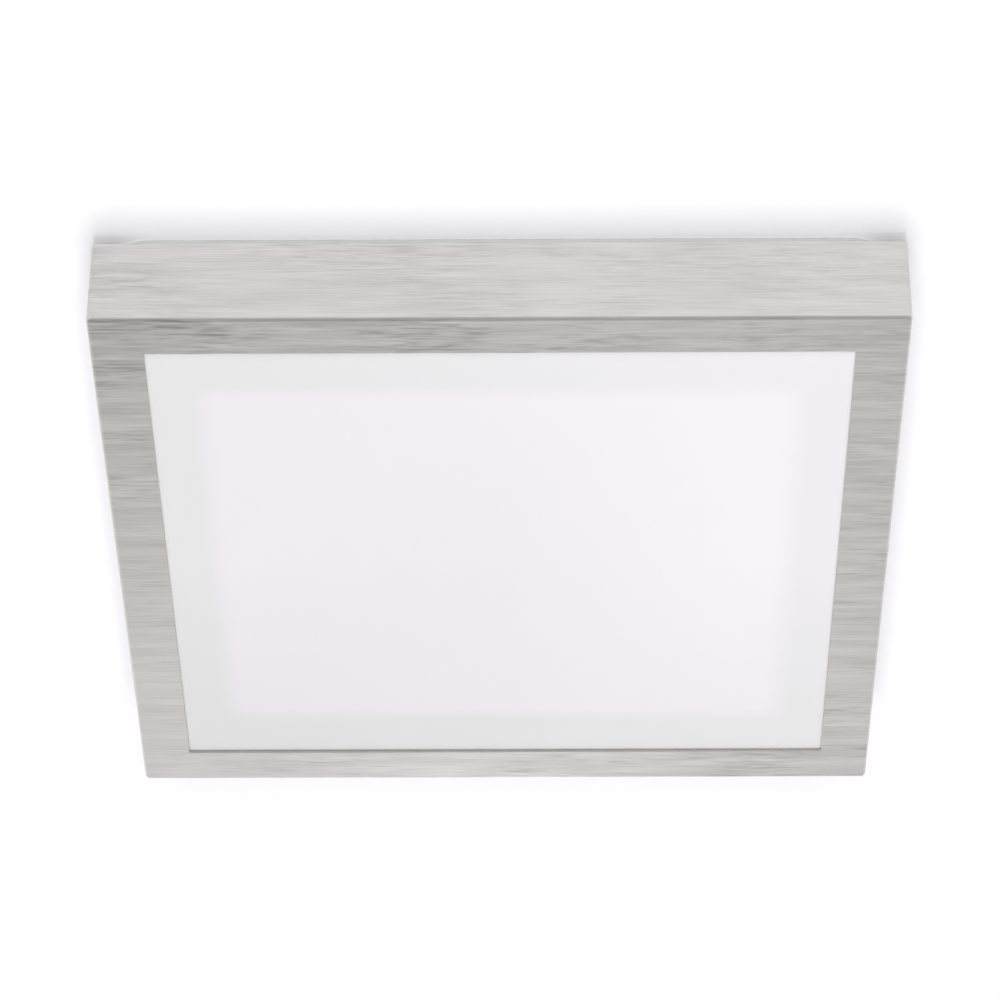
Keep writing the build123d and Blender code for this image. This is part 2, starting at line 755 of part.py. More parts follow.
board_length = inner_driver_length - 2 * board_play
board_width = inner_driver_width - 2 * board_play
with BuildPart() as driver_board:
    with BuildSketch(Plane.XY.offset(board_low_z)):
        with Locations((0, driver_y)):
            Rectangle(board_length, board_width)
    extrude(amount=board_thickness)
save(driver_board, "driver_board")

with BuildPart() as driver_transformer:
    with BuildSketch(Plane.XY.offset(board_low_z)):
        with Locations((transformer_x, driver_y)):
            Rectangle(transformer_length, transformer_width)
    extrude(amount=-transformer_height)
    with BuildSketch(Plane.XY.offset(board_low_z)):
        with Locations((transformer_x, driver_y)):
            Rectangle(winding_length, transformer_width + 2 * winding_stand)
    extrude(amount=-winding_height)
save(driver_transformer, "driver_transformer")

with BuildPart() as driver_capacitors:
    with BuildSketch(Plane.XY.offset(board_low_z)):
        with Locations(*[(x, driver_y + y) for x, y in capacitor_spots]):
            Circle(capacitor_radius)
    extrude(amount=-capacitor_height)
    fillet(driver_capacitors.edges().group_by(Axis.Z)[0], capacitor_edge_radius)
save(driver_capacitors, "driver_capacitors")

choke_x = board_length / 2 - choke_inset
with BuildPart() as driver_choke:
    with BuildSketch(Plane.XY.offset(board_low_z)):
        with Locations((choke_x, driver_y)):
            Circle(choke_radius)
            Circle(choke_bore, mode=Mode.SUBTRACT)
    extrude(amount=-choke_height)
    fillet(driver_choke.edges().group_by(Axis.Z)[0], choke_edge_radius)
save(driver_choke, "driver_choke")

socket_x = inner_driver_length / 2 - board_play - socket_length / 2
with BuildPart() as driver_sockets:
    with BuildSketch(Plane.XY.offset(board_low_z)):
        with Locations(*[(side * socket_x, sum(outlet_y) / 2) for side in (-1, 1)]):
            Rectangle(socket_length, socket_width)
    extrude(amount=-socket_height)
save(driver_sockets, "driver_sockets")

# ---------------------------------------------------------------- supply terminal

pole_y = {
    "live": terminal_y - pole_pitch,
    "neutral": terminal_y,
    "earth": terminal_y + pole_pitch,
}
terminal_low_z = boss_z - terminal_height
entry_z = boss_z - entry_drop
chamber_low_z = terminal_low_z + chamber_step
mouth_length = chamber_length - 2 * button_rim
mouth_width_y = chamber_width - 2 * button_rim
flange_low_z = chamber_low_z + button_guide

with BuildPart() as terminal_body:
    with BuildSketch(Plane.XY.offset(boss_z)):
        with Locations((terminal_x, terminal_y)):
            Rectangle(terminal_length, terminal_width)
    extrude(amount=-terminal_height)
    chamfer(terminal_body.edges().group_by(Axis.Z)[0], terminal_edge_break)
    chamfer(terminal_body.edges().filter_by(Axis.Z), terminal_edge_break)
    for y in pole_y.values():
        with BuildSketch(Plane.XY.offset(boss_z)):
            with Locations((terminal_x, y)):
                Rectangle(chamber_length, chamber_width)
        extrude(amount=chamber_low_z - boss_z, mode=Mode.SUBTRACT)
        with BuildSketch(Plane.XY.offset(boss_z)):
            with Locations((terminal_x, y)):
                Rectangle(mouth_length, mouth_width_y)
        extrude(amount=-terminal_height, mode=Mode.SUBTRACT)
        with BuildSketch(Plane(origin=(terminal_x, y, entry_z), z_dir=(1, 0, 0))):
            Circle(entry_radius)
        extrude(amount=terminal_length, both=True, mode=Mode.SUBTRACT)
    with BuildSketch(Plane.XY.offset(boss_z)):
        with Locations(*latch_spots):
            Rectangle(latch_length, latch_width)
    extrude(amount=boss_height - tip_relief)
    for side, (latch_x, latch_y) in zip((-1, 1), latch_spots):
        barb_x = latch_x + side * (latch_length + latch_barb) / 2
        barb_low_z = -boss_height + running_clearance
        with BuildSketch(Plane.XY.offset(barb_low_z)):
            with Locations((barb_x, latch_y)):
                Rectangle(latch_barb, latch_width)
        extrude(amount=-tip_relief - barb_low_z)
save(terminal_body, "terminal_body")

contact_half = chamber_length / 2 - contact_sheet - button_guide / 2
contact_top_z = boss_z - contact_sheet
contact_leaf_z = flange_low_z + button_flange + button_travel + button_leaf_gap + contact_sheet / 2
with BuildPart() as terminal_contacts:
    for y in pole_y.values():
        with BuildSketch(Plane(origin=(terminal_x, y, 0), x_dir=(1, 0, 0), z_dir=(0, -1, 0))):
            with BuildLine():
                FilletPolyline(
                    (-contact_half, contact_top_z),
                    (contact_half, contact_top_z),
                    (contact_half, contact_leaf_z),
                    (-contact_half, contact_leaf_z),
                    radius=contact_sheet * 1.5,
                )
            trace(line_width=contact_sheet)
        extrude(amount=mouth_width_y / 2, both=True)
save(terminal_contacts, "terminal_contacts")

stem_length = mouth_length - 2 * button_guide
stem_width = mouth_width_y - 2 * button_guide
stem_low_z = terminal_low_z - button_travel - button_proud
for pole, y in pole_y.items():
    with BuildPart() as release_button:
        with BuildSketch(Plane.XY.offset(stem_low_z)):
            with Locations((terminal_x, y)):
                Rectangle(stem_length, stem_width)
        extrude(amount=flange_low_z - stem_low_z)
        chamfer(release_button.edges().group_by(Axis.Z)[0], button_edge_break)
        with BuildSketch(Plane.XY.offset(flange_low_z)):
            with Locations((terminal_x, y)):
                Rectangle(stem_length + 2 * button_rim, stem_width + 2 * button_rim)
        extrude(amount=button_flange)
    save(release_button, f"release_button_{pole}")

# ---------------------------------------------------------------- earth stud

earth_pad_low_z = boss_z - earth_pad_height
lug_low_z = earth_pad_low_z - lug_sheet
washer_low_z = lug_low_z - washer_thickness
barrel_z = lug_low_z - lug_barrel_radius / 3
earth_spot = (earth_x, terminal_y)
crimp_x = earth_x - lug_reach - lug_neck

with BuildPart() as earth_stud:
    with BuildSketch(Plane.XY.offset(boss_z)):
        with Locations(earth_spot):
            Circle(earth_pad_radius)
    extrude(amount=-earth_pad_height)
    with BuildSketch(Plane.XY.offset(earth_pad_low_z)):
        with Locations(earth_spot):
            Circle(earth_stud_radius)
    extrude(amount=-earth_stud_length)
save(earth_stud, "earth_stud")

with BuildPart() as earth_lug:
    with BuildSketch(Plane.XY.offset(lug_low_z)):
        with Locations(earth_spot):
            Circle(lug_radius)
        with Locations((earth_x - (lug_reach + lug_neck) / 2, terminal_y)):
            Rectangle(lug_reach + lug_neck, lug_barrel_radius * 2)
        with Locations(earth_spot):
            Circle(earth_stud_radius + running_clearance, mode=Mode.SUBTRACT)
    extrude(amount=lug_sheet)
    with BuildSketch(Plane(origin=(earth_x - lug_reach, terminal_y, barrel_z), z_dir=(-1, 0, 0))):
        Circle(lug_barrel_radius)
    extrude(amount=lug_barrel_length)
    with BuildSketch(Plane(origin=(crimp_x, terminal_y, barrel_z), z_dir=(-1, 0, 0))):
        Circle(mains_wire_radius + running_clearance)
    extrude(amount=lug_barrel_length, mode=Mode.SUBTRACT)
save(earth_lug, "earth_lug")

with BuildPart() as earth_washer:
    with BuildSketch(Plane.XY.offset(washer_low_z)):
        with Locations(earth_spot):
            Circle(earth_stud_radius * 2)
            Circle(earth_stud_radius + running_clearance, mode=Mode.SUBTRACT)
    extrude(amount=washer_thickness)
save(earth_washer, "earth_washer")

with BuildPart() as earth_nut:
    place(
        hex_nut(earth_nut_flats, earth_nut_height, earth_stud_radius + running_clearance),
        [(earth_x, terminal_y, washer_low_z - earth_nut_height)],
    )
save(earth_nut, "earth_nut")

# ---------------------------------------------------------------- wires and their saddles

lane_z = plateau_z - wire_rise - mains_wire_radius
mains_lane_x = floor_width / 2 + box_sheet + mains_lane_gap
near_lane_y = -pan_inner_depth / 2 + near_lane_gap
contact_face_x = terminal_x + contact_half + contact_sheet / 2
socket_face_x = socket_x + socket_length / 2
mains_room = mains_lane_x - driver_length / 2
mains_turn = lane_turn * mains_room

for name, pole, order in (("live_wire", "live", 1), ("neutral_wire", "neutral", 0)):
    lane_x = mains_lane_x + order * wire_pitch
    lane_y = near_lane_y + (1 - order) * wire_pitch
    outlet = outlet_y[order]
    with BuildPart() as mains_wire:
        add(
            wire(
                name,
                mains_wire_radius,
                [14.0, 14.0, 12.0, mains_turn, mains_turn, mains_turn],
                [
                    (contact_face_x, pole_y[pole], entry_z),
                    (terminal_x + 28.0, pole_y[pole], entry_z),
                    (terminal_x + 44.0, lane_y, lane_z),
                    (lane_x, lane_y, lane_z),
                    (lane_x, outlet, lane_z),
                    (driver_length / 2 + drop_start * mains_room, outlet, lane_z),
                    (driver_length / 2 + drop_end * mains_room, outlet, outlet_z),
                    (socket_face_x, outlet, outlet_z),
                ],
            )
        )
    save(mains_wire, name)

with BuildPart() as earth_wire:
    add(
        wire(
            "earth_wire",
            mains_wire_radius,
            [10.0, 10.0],
            [
                (contact_face_x, pole_y["earth"], entry_z),
                (terminal_x + 20.0, pole_y["earth"], entry_z),
                (earth_x - lug_reach - lug_barrel_length - 8.0, terminal_y, barrel_z),
                (crimp_x, terminal_y, barrel_z),
            ],
        )
    )
save(earth_wire, "earth_wire")

inner_lane_x = connector_face - lamp_lane_gap
outer_lane_x = inner_lane_x - lamp_wire_pitch
port_x = connector_face + port_depth
top_port = row_y[-1] + port_pitch / 2
bottom_port = row_y[0] - port_pitch / 2
lamp_room = -inner_lane_x - driver_length / 2
lamp_turn = lane_turn * lamp_room

with BuildPart() as lamp_plus_wire:
    add(
        wire(
            "lamp_plus_wire",
            lamp_wire_radius,
            [lamp_turn, lamp_turn, lamp_turn, 4.0],
            [
                (-socket_face_x, outlet_y[0], outlet_z),
                (-driver_length / 2 - drop_end * lamp_room, outlet_y[0], outlet_z),
                (-driver_length / 2 - drop_start * lamp_room, outlet_y[0], port_z),
                (inner_lane_x, outlet_y[0], port_z),
                (inner_lane_x, top_port, port_z),
                (port_x, top_port, port_z),
            ],
        )
    )
save(lamp_plus_wire, "lamp_plus_wire")

with BuildPart() as lamp_minus_wire:
    add(
        wire(
            "lamp_minus_wire",
            lamp_wire_radius,
            [lamp_turn, lamp_turn, lamp_turn, 5.0],
            [
                (-socket_face_x, outlet_y[1], outlet_z),
                (-driver_length / 2 - drop_end * lamp_room, outlet_y[1], outlet_z),
                (-driver_length / 2 - drop_start * lamp_room, outlet_y[1], port_z),
                (outer_lane_x, outlet_y[1], port_z),
                (outer_lane_x, bottom_port, port_z),
                (port_x, bottom_port, port_z),
            ],
        )
    )
save(lamp_minus_wire, "lamp_minus_wire")

with BuildPart() as strip_jumpers:
    for low, high in zip(row_y, row_y[1:]):
        add(
            wire(
                "strip_jumper",
                lamp_wire_radius,
                [4.0, 4.0],
                [
                    (port_x, low + port_pitch / 2, port_z),
                    (inner_lane_x, low + port_pitch / 2, port_z),
                    (inner_lane_x, high - port_pitch / 2, port_z),
                    (port_x, high - port_pitch / 2, port_z),
                ],
            )
        )
save(strip_jumpers, "strip_jumpers")

# Each saddle is a block on the plateau with one flat tunnel for the two wires
saddle_y = [bead[1] for bead in bead_spots[::2]]
saddle_lanes = [
    (mains_lane_x, mains_lane_x + wire_pitch, lane_z, mains_wire_radius),
    (outer_lane_x, inner_lane_x, port_z, lamp_wire_radius),
]
with BuildPart() as wire_saddles:
    for first_x, last_x, wires_z, radius in saddle_lanes:
        tunnel_width = last_x - first_x + 2 * (radius + saddle_play)
        tunnel_height = 2 * radius + saddle_play
        low_z = wires_z - tunnel_height / 2 - saddle_wall
        for y in saddle_y:
            with BuildSketch(Plane(origin=((first_x + last_x) / 2, y, 0), x_dir=(1, 0, 0), z_dir=(0, -1, 0))):
                with Locations((0, (plateau_z + low_z) / 2)):
                    Rectangle(tunnel_width + 2 * saddle_wall, plateau_z - low_z)
                with Locations((0, wires_z)):
                    Rectangle(tunnel_width, tunnel_height, mode=Mode.SUBTRACT)
            extrude(amount=saddle_length / 2, both=True)
save(wire_saddles, "wire_saddles")
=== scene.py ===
import math
from functools import partial

import bmesh
import bpy
from bpy.props import FloatProperty, FloatVectorProperty, PointerProperty
from mathutils import Matrix, Vector


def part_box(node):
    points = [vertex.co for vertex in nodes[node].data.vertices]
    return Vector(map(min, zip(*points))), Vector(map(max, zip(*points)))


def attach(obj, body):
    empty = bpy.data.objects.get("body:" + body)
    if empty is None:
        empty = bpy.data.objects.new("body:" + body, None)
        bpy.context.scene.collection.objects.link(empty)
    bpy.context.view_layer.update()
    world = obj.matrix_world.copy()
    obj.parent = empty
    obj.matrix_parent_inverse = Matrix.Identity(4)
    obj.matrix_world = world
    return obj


bl_info = {
    "name": "Square flush ceiling light",
    "version": (1, 0, 0),
    "blender": (4, 5, 0),
    "location": "3D View > Sidebar > Ceiling Light",
    "description": "Finishes, small parts and studio for a square flush ceiling light",
    "category": "Object",
}

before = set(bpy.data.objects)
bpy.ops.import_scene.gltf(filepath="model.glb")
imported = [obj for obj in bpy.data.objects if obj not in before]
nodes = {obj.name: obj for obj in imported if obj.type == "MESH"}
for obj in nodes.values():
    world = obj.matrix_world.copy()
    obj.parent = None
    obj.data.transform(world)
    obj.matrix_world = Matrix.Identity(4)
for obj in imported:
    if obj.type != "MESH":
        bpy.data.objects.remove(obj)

MM = 0.001
HALF_PLAN = 150 * MM        # half of the light's width, and of its depth


# ---------------------------------------------------------------- sizes and colours

def linear(code):
    """Turn an sRGB hex colour into Blender's linear red, green and blue."""
    shades = [int(code[i:i + 2], 16) / 255 for i in (1, 3, 5)]
    return tuple(s / 12.92 if s <= 0.04045 else ((s + 0.055) / 1.055) ** 2.4 for s in shades)


def colour(name, code, description):
    """Describe one colour that a user can change."""
    return FloatVectorProperty(
        name=name, description=description, subtype="COLOR", min=0.0, max=1.0, default=linear(code)
    )


def length(name, millimetres, description):
    """Describe one real size that a user can change."""
    return FloatProperty(
        name=name, description=description, unit="LENGTH", min=0.0, default=millimetres * MM
    )


class LightColours(bpy.types.PropertyGroup):
    """Colours of the light's finishes."""

    nickel: colour("Brushed nickel", "#D9D8D6", "Frame's brushed face")
    nickel_groove: colour("Brush grooves", "#A3A29F", "Darker lines left by the brush")
    cut_edge: colour("Cut edge", "#C4C1BB", "Frame's window edge, cut and left unbrushed")
    # the opal sheet's brighter tone in front of the light box's mouth is a painted glow, standing
    # for the box's white floor showing through
    opal_painted_glow: colour("Opal sheet", "#FAF6FA", "Opal sheet in front of the light box")
    opal_rim: colour("Opal sheet border", "#F2F0F2", "Opal sheet in front of the light box's rim")
    powder: colour("Powder coat", "#EDEEEE", "Pan's white paint")
    moulding: colour("White mouldings", "#E9E9E5", "Driver, terminal and connectors")
    light_box: colour("Light box", "#ECECEB", "Formed white tray")
    button: colour("Release buttons", "#DE6A1E", "Terminal's release buttons")
    floor: colour("Floor", "#F4F3F5", "Studio floor and ceiling")


class LightSizes(bpy.types.PropertyGroup):
    """Real sizes of the light's small features and of the studio."""

    brush_spacing: length("Brush line spacing", 0.5, "Across the lines, coarser than real to show")
    brush_length: length("Brush line length", 30.0, "Along the lines")
    scratch_width: length("Scratch width", 1.0, "Across the short strokes between the lines")
    scratch_length: length("Scratch length", 14.0, "Along the short strokes")
    smudge_width: length("Smudge width", 5.0, "Across a soft darker streak of the belt")
    smudge_length: length("Smudge length", 55.0, "Along a soft darker streak")
    patch_size: length("Scratched patch", 18.0, "Across a patch where the brush bit deeper")
    # the light box's mouth, over which the opal sheet is drawn brighter as a painted glow
    mouth_half_width: length("Light box mouth, half width", 111.0, "Middle to the mouth's side")
    mouth_half_depth: length("Light box mouth, half depth", 105.0, "Middle to its far side")
    mouth_blur: length("Mouth's soft edge", 6.0, "Half the width over which the tone changes")
    window_half: length("Window, half width", 130.5, "Middle to the frame's window edge")
    orange_peel: length("Orange peel", 1.1, "Ripple of the powder coat")
    spark_grain: length("Spark texture", 0.35, "Grain of the moulded parts")
    thread_depth: length("Thread depth", 0.16, "Crest above the shank")
    field_depth: length("Raised fields", 2.4, "Ceiling to the back of the pan's raised fields")
    floor_drop: length("Floor below the ceiling", 2400.0, "Height of the room")


def colours():
    """Give the scene's finish colours."""
    return bpy.context.scene.ceiling_light_colours


def sizes():
    """Give the scene's small sizes."""
    return bpy.context.scene.ceiling_light_sizes


def shade_of(setting):
    """Give the colour of a hex code, or of the colour setting with that name."""
    return linear(setting) if setting.startswith("#") else getattr(colours(), setting)


def size_of(setting):
    """Give a number of millimetres, or the size setting with that name, in metres."""
    return getattr(sizes(), setting) if isinstance(setting, str) else setting * MM


def solid(shade):
    """Add alpha to a linear colour."""
    return (*shade[:3], 1.0)


# ---------------------------------------------------------------- material tools

COORDINATES = "ShaderNodeTexCoord"
AXES = "ShaderNodeSeparateXYZ"
VECTOR = "ShaderNodeVectorMath"
MATHS = "ShaderNodeMath"
RANGE = "ShaderNodeMapRange"
MIX = "ShaderNodeMix"
BUMP = "ShaderNodeBump"
NOISE = "ShaderNodeTexNoise"
EMISSION = "ShaderNodeEmission"
SHADER_MIX = "ShaderNodeMixShader"

# Inputs of a mix node that hold the first and second vector, or the first and second colour
VECTOR_A, VECTOR_B = 4, 5
COLOUR_A, COLOUR_B = 6, 7

# Most of a noise lies in this part of its range from 0 to 1
USUAL = (0.35, 0.65)

# Paint and plastic drift in colour over a hand's breadth, by these shares, and the marks in a
# plated metal are darker than the plate
HAND = 40 * MM
PAINT_DRIFT = 0.02
PLASTIC_DRIFT = 0.04
METAL_MARK = 0.84

WHITE = solid(linear("#FFFFFF"))


def add_node(tree, kind, *values, inputs=None, **settings):
    """Add a node with its settings, and give its inputs values or links, in order or by name.

    An input that is given a node is linked to that node's first output in use.
    """
    made = tree.nodes.new(kind)
    for name, value in settings.items():
        setattr(made, name, value)
    for name, value in {**dict(enumerate(values)), **(inputs or {})}.items():
        if isinstance(value, bpy.types.Node):
            value = next(output for output in value.outputs if output.enabled)
        if isinstance(value, bpy.types.NodeSocket):
            tree.links.new(value, made.inputs[name])
        else:
            made.inputs[name].default_value = value
    return made


def start(name):
    """Make an empty material, and give it with its node tree."""
    made = bpy.data.materials.new(name)
    made.use_nodes = True
    made.node_tree.nodes.clear()
    return made, made.node_tree


def surface(tree, inputs):
    """Close a material with its shader."""
    shader = add_node(tree, "ShaderNodeBsdfPrincipled", inputs=inputs)
    add_node(tree, "ShaderNodeOutputMaterial", shader)


def grain(tree, size, detail=2.0, where=None):
    """Pattern from 0 to 1, with features of a real size in metres along X, Y and Z."""
    spot = where or add_node(tree, COORDINATES).outputs["Object"]
    scaled = add_node(tree, VECTOR, spot, [1 / s for s in size], operation="MULTIPLY")
    return add_node(tree, NOISE, inputs={"Vector": scaled, "Scale": 1.0, "Detail": detail})


def varied(tree, shade, share):
    """A colour that drifts a little darker from place to place, as paint and plastic do."""
    dark = [s * (1 - share) for s in shade[:3]]
    drift = add_node(tree, RANGE, grain(tree, (HAND,) * 3), *USUAL, 0.0, 1.0)
    tones = {COLOUR_A: solid(dark), COLOUR_B: solid(shade)}
    return add_node(tree, MIX, drift, inputs=tones, data_type="RGBA")


# ---------------------------------------------------------------- brushed frame

# A face whose normal leans more than this along an axis is taken to face that way, and one that
# leans less than this along Z to stand upright
FACING = 0.7
UPRIGHT = 0.5

# The window's cut edge is drawn up to the first distance past it, and fades out by the second
CUT_EDGE_ENDS = (0.2 * MM, 0.4 * MM)

# Grooves spread a reflection across themselves: up and down a wall, and along Y on the face
ACROSS_WALLS = (0.0, 0.0, 1.0)
ACROSS_FACE = (0.0, 1.0, 0.0)
GROOVE_DEPTH = 0.006 * MM

# Belt's pressure, which also carries painted shade that darkens the frame most at the face's near
# left and less on the walls: at the near and far ends, what the side and end bars add to it, its
# share on the walls, and how strongly it follows the way from near to far on the left and on the
# right
PRESSURE_AND_SHADE_NEAR, PRESSURE_AND_SHADE_FAR = 1.1, 0.3
PRESSURE_AND_SHADE_SIDES, PRESSURE_AND_SHADE_ENDS = -0.12, 0.08
PRESSURE_AND_SHADE_WALLS = 0.5
FOLLOWS_LEFT, FOLLOWS_RIGHT = 1.4, -0.4
END_BARS_FROM, END_BARS_TO = 90 * MM, 140 * MM

# Each kind of mark, and the painted shade, as a share of the way from the nickel's colour to the
# groove's
HAIR = 0.24
BITE = 0.5
SMUDGE_LIGHT, SMUDGE_DARK = -0.1, 0.24
SMUDGE_BY_PRESSURE_AND_SHADE, SMUDGE_ALWAYS = 0.7, 0.25
PAINTED_SHADE_SHARE = 0.2

# Parts of the noises that turn into scratches, and into patches that hold them
SCRATCH_SPAN = (0.36, 0.54)
PATCH_SPAN = (0.42, 0.6)
PATCH_STRETCH = 2.5
OUTSIDE_PATCH = 0.2


def streak(long, wide):
    """Size of a mark that runs along X."""
    return (long, wide, wide)


def belt_pressure_and_painted_shade(tree, x, y, off_y, level):
    """How hard the belt bore down, which also sets painted shade: most at the near left, and less
    on the walls.
    """
    add = partial(add_node, tree)
    follows = add(RANGE, x, -HALF_PLAN, HALF_PLAN, FOLLOWS_LEFT, FOLLOWS_RIGHT)
    skewed = add(MATHS, y, follows, operation="MULTIPLY")
    lengthwise = add(RANGE, skewed, -HALF_PLAN, HALF_PLAN, PRESSURE_AND_SHADE_NEAR, PRESSURE_AND_SHADE_FAR)
    ends = add(RANGE, off_y, END_BARS_FROM, END_BARS_TO, PRESSURE_AND_SHADE_SIDES, PRESSURE_AND_SHADE_ENDS)
    share = add(RANGE, level, 0.0, 1.0, PRESSURE_AND_SHADE_WALLS, 1.0)
    whole = add(MATHS, lengthwise, ends, operation="ADD")
    return add(MATHS, whole, share, operation="MULTIPLY")


def belt_marks_and_painted_shade(tree, along, pressure_and_shade):
    """Fine lines, short scratches, soft smudges and a painted shade, as one share of the groove's
    colour.
    """
    add = partial(add_node, tree)
    size = sizes()
    # the real grooves are about a tenth of a millimetre apart, too fine to show here, so the
    # lines are drawn five times as far apart
    hair = grain(tree, streak(size.brush_length, size.brush_spacing), 3.0, along)
    scratch = grain(tree, streak(size.scratch_length, size.scratch_width), 2.0, along)
    patch = grain(tree, streak(PATCH_STRETCH * size.patch_size, size.patch_size), 2.0, along)
    smudge = grain(tree, streak(size.smudge_length, size.smudge_width), 3.0, along)

    scratched = add(RANGE, scratch, *SCRATCH_SPAN, 1.0, 0.0)
    patchy = add(RANGE, patch, *PATCH_SPAN, OUTSIDE_PATCH, 1.0)
    bitten = add(MATHS, scratched, patchy, operation="MULTIPLY")
    bitten = add(MATHS, bitten, pressure_and_shade, operation="MULTIPLY")
    fine = add(MATHS, add(RANGE, hair, *USUAL, 1.0, 0.0), HAIR, operation="MULTIPLY")
    lines = add(MATHS, bitten, BITE, fine, operation="MULTIPLY_ADD")
    # painted shade: a tone that grows darker with the weight, most at the face's near left
    tone = add(MATHS, pressure_and_shade, PAINTED_SHADE_SHARE, -PAINTED_SHADE_SHARE / 2, operation="MULTIPLY_ADD")
    lines = add(MATHS, lines, tone, operation="ADD")
    soft = add(RANGE, smudge, *USUAL, SMUDGE_LIGHT, SMUDGE_DARK)
    weight = add(MATHS, pressure_and_shade, SMUDGE_BY_PRESSURE_AND_SHADE, SMUDGE_ALWAYS, operation="MULTIPLY_ADD")
    soft = add(MATHS, soft, weight, operation="MULTIPLY")
    return add(MATHS, lines, soft, operation="ADD")


def brushed_nickel(name):
    """Steel sheet, nickel plated and belt brushed along X: satin, with fine long lines, soft
    smudges and patches of short scratches, painted shade that is darkest at the face's near left,
    and a plain edge where the window was cut."""
    made, tree = start(name)
    add = partial(add_node, tree)
    coordinates = add(COORDINATES).outputs
    spot = coordinates["Object"]
    x, y, z = add(AXES, spot).outputs
    off_x, off_y, _ = add(AXES, add(VECTOR, spot, operation="ABSOLUTE")).outputs
    facing = add(VECTOR, coordinates["Normal"], operation="ABSOLUTE")
    facing_x, _, facing_z = add(AXES, facing).outputs

    # the side walls were brushed from end to end too, so their lines run along Y
    sideways = add(MATHS, facing_x, FACING, operation="GREATER_THAN")
    turned = add("ShaderNodeCombineXYZ", y, x, z)
    ways = {VECTOR_A: spot, VECTOR_B: turned}
    along = add(MIX, sideways, inputs=ways, data_type="VECTOR")
    level = add(MATHS, facing_z, FACING, operation="GREATER_THAN")
    # the marks and the painted shade together, as one share of the groove's colour
    lines = belt_marks_and_painted_shade(tree, along, belt_pressure_and_painted_shade(tree, x, y, off_y, level))
    nickel = {COLOUR_A: solid(colours().nickel), COLOUR_B: solid(colours().nickel_groove)}
    brushed = add(MIX, lines, inputs=nickel, data_type="RGBA")

    reach = add(MATHS, off_x, off_y, operation="MAXIMUM")
    low, high = (sizes().window_half + past for past in CUT_EDGE_ENDS)
    at_window = add(RANGE, reach, low, high, 1.0, 0.0, interpolation_type="SMOOTHSTEP")
    upright = add(MATHS, facing_z, UPRIGHT, operation="LESS_THAN")
    cut = add(MATHS, at_window, upright, operation="MULTIPLY")
    edged = {COLOUR_A: brushed, COLOUR_B: solid(colours().cut_edge)}
    height = add(MATHS, 1.0, lines, operation="SUBTRACT")
    across = {VECTOR_A: ACROSS_WALLS, VECTOR_B: ACROSS_FACE}
    surface(tree, {
        "Base Color": add(MIX, cut, inputs=edged, data_type="RGBA"),
        "Metallic": 1.0,
        "Roughness": add(RANGE, lines, 0.0, 1.0, 0.30, 0.40),
        "Anisotropic": 0.5,
        "Tangent": add(MIX, level, inputs=across, data_type="VECTOR"),
        "Normal": add(BUMP, inputs={"Height": height, "Distance": GROOVE_DEPTH}),
    })
    return made


# ---------------------------------------------------------------- opal sheet

# Painted shade: how much darker the sheet is drawn to the left, to the far side and in its corners,
# and the tone that it turns to
PAINTED_SHADE_LEFT = 0.08
PAINTED_SHADE_FAR = 0.075
PAINTED_SHADE_CORNERS = 0.035
PAINTED_SHADE_COLOUR = "#456945"
PAINTED_SHADE_LEFT_END = 0.85       # of the mouth's half width

# Slow changes in the satin skin's gloss, and its fine ripple
SKIN_CLOUD = 60 * MM
SKIN_RIPPLE, SKIN_DEPTH = 0.6 * MM, 0.002 * MM


def opal_acrylic(name):
    """Extruded opal acrylic with a satin skin: white and softly glossy. It is drawn brighter in
    front of the light box, a painted glow for the box's white floor showing through, and darker to
    the left, the far side and the corners, a painted shade."""
    made, tree = start(name)
    add = partial(add_node, tree)
    size = sizes()
    spot = add(COORDINATES).outputs["Object"]
    x, y, _ = add(AXES, spot).outputs
    off_x, off_y, _ = add(AXES, add(VECTOR, spot, operation="ABSOLUTE")).outputs
    # painted glow: the sheet is drawn brighter inside the light box's mouth, with a soft edge
    inside = [
        add(RANGE, off, half - size.mouth_blur, half + size.mouth_blur, 1.0, 0.0,
            interpolation_type="SMOOTHSTEP")
        for off, half in ((off_x, size.mouth_half_width), (off_y, size.mouth_half_depth))
    ]
    in_mouth = add(MATHS, *inside, operation="MULTIPLY")
    opal = {COLOUR_A: solid(colours().opal_rim), COLOUR_B: solid(colours().opal_painted_glow)}
    tone = add(MIX, in_mouth, inputs=opal, data_type="RGBA")

    # painted shade: the sheet is drawn darker to the left, to the far side and towards the corners
    left_end = PAINTED_SHADE_LEFT_END * size.mouth_half_width
    leftward = add(RANGE, x, 0.0, left_end, PAINTED_SHADE_LEFT, 0.0)
    farward = add(RANGE, y, -size.window_half, size.window_half, 0.0, PAINTED_SHADE_FAR)
    corner = add(MATHS, off_x, off_y, operation="MULTIPLY")
    mouth_corner = size.mouth_half_width * size.mouth_half_depth
    cornerward = add(RANGE, corner, 0.0, mouth_corner, 0.0, PAINTED_SHADE_CORNERS)
    painted_shade = add(MATHS, leftward, farward, operation="ADD")
    painted_shade = add(MATHS, painted_shade, cornerward, operation="ADD")
    tones = {COLOUR_A: tone, COLOUR_B: solid(linear(PAINTED_SHADE_COLOUR))}
    skin = {"Height": grain(tree, (SKIN_RIPPLE,) * 3, 1.0), "Distance": SKIN_DEPTH}
    surface(tree, {
        "Base Color": add(MIX, painted_shade, inputs=tones, data_type="RGBA"),
        "Roughness": add(RANGE, grain(tree, (SKIN_CLOUD,) * 3, 1.0), *USUAL, 0.38, 0.46),
        "IOR": 1.49,
        "Subsurface Weight": 0.15,
        "Subsurface Radius": (1.0, 1.0, 1.0),
        "Subsurface Scale": 2.0 * MM,
        "Normal": add(BUMP, inputs=skin),
    })
    return made


# ---------------------------------------------------------------- other materials

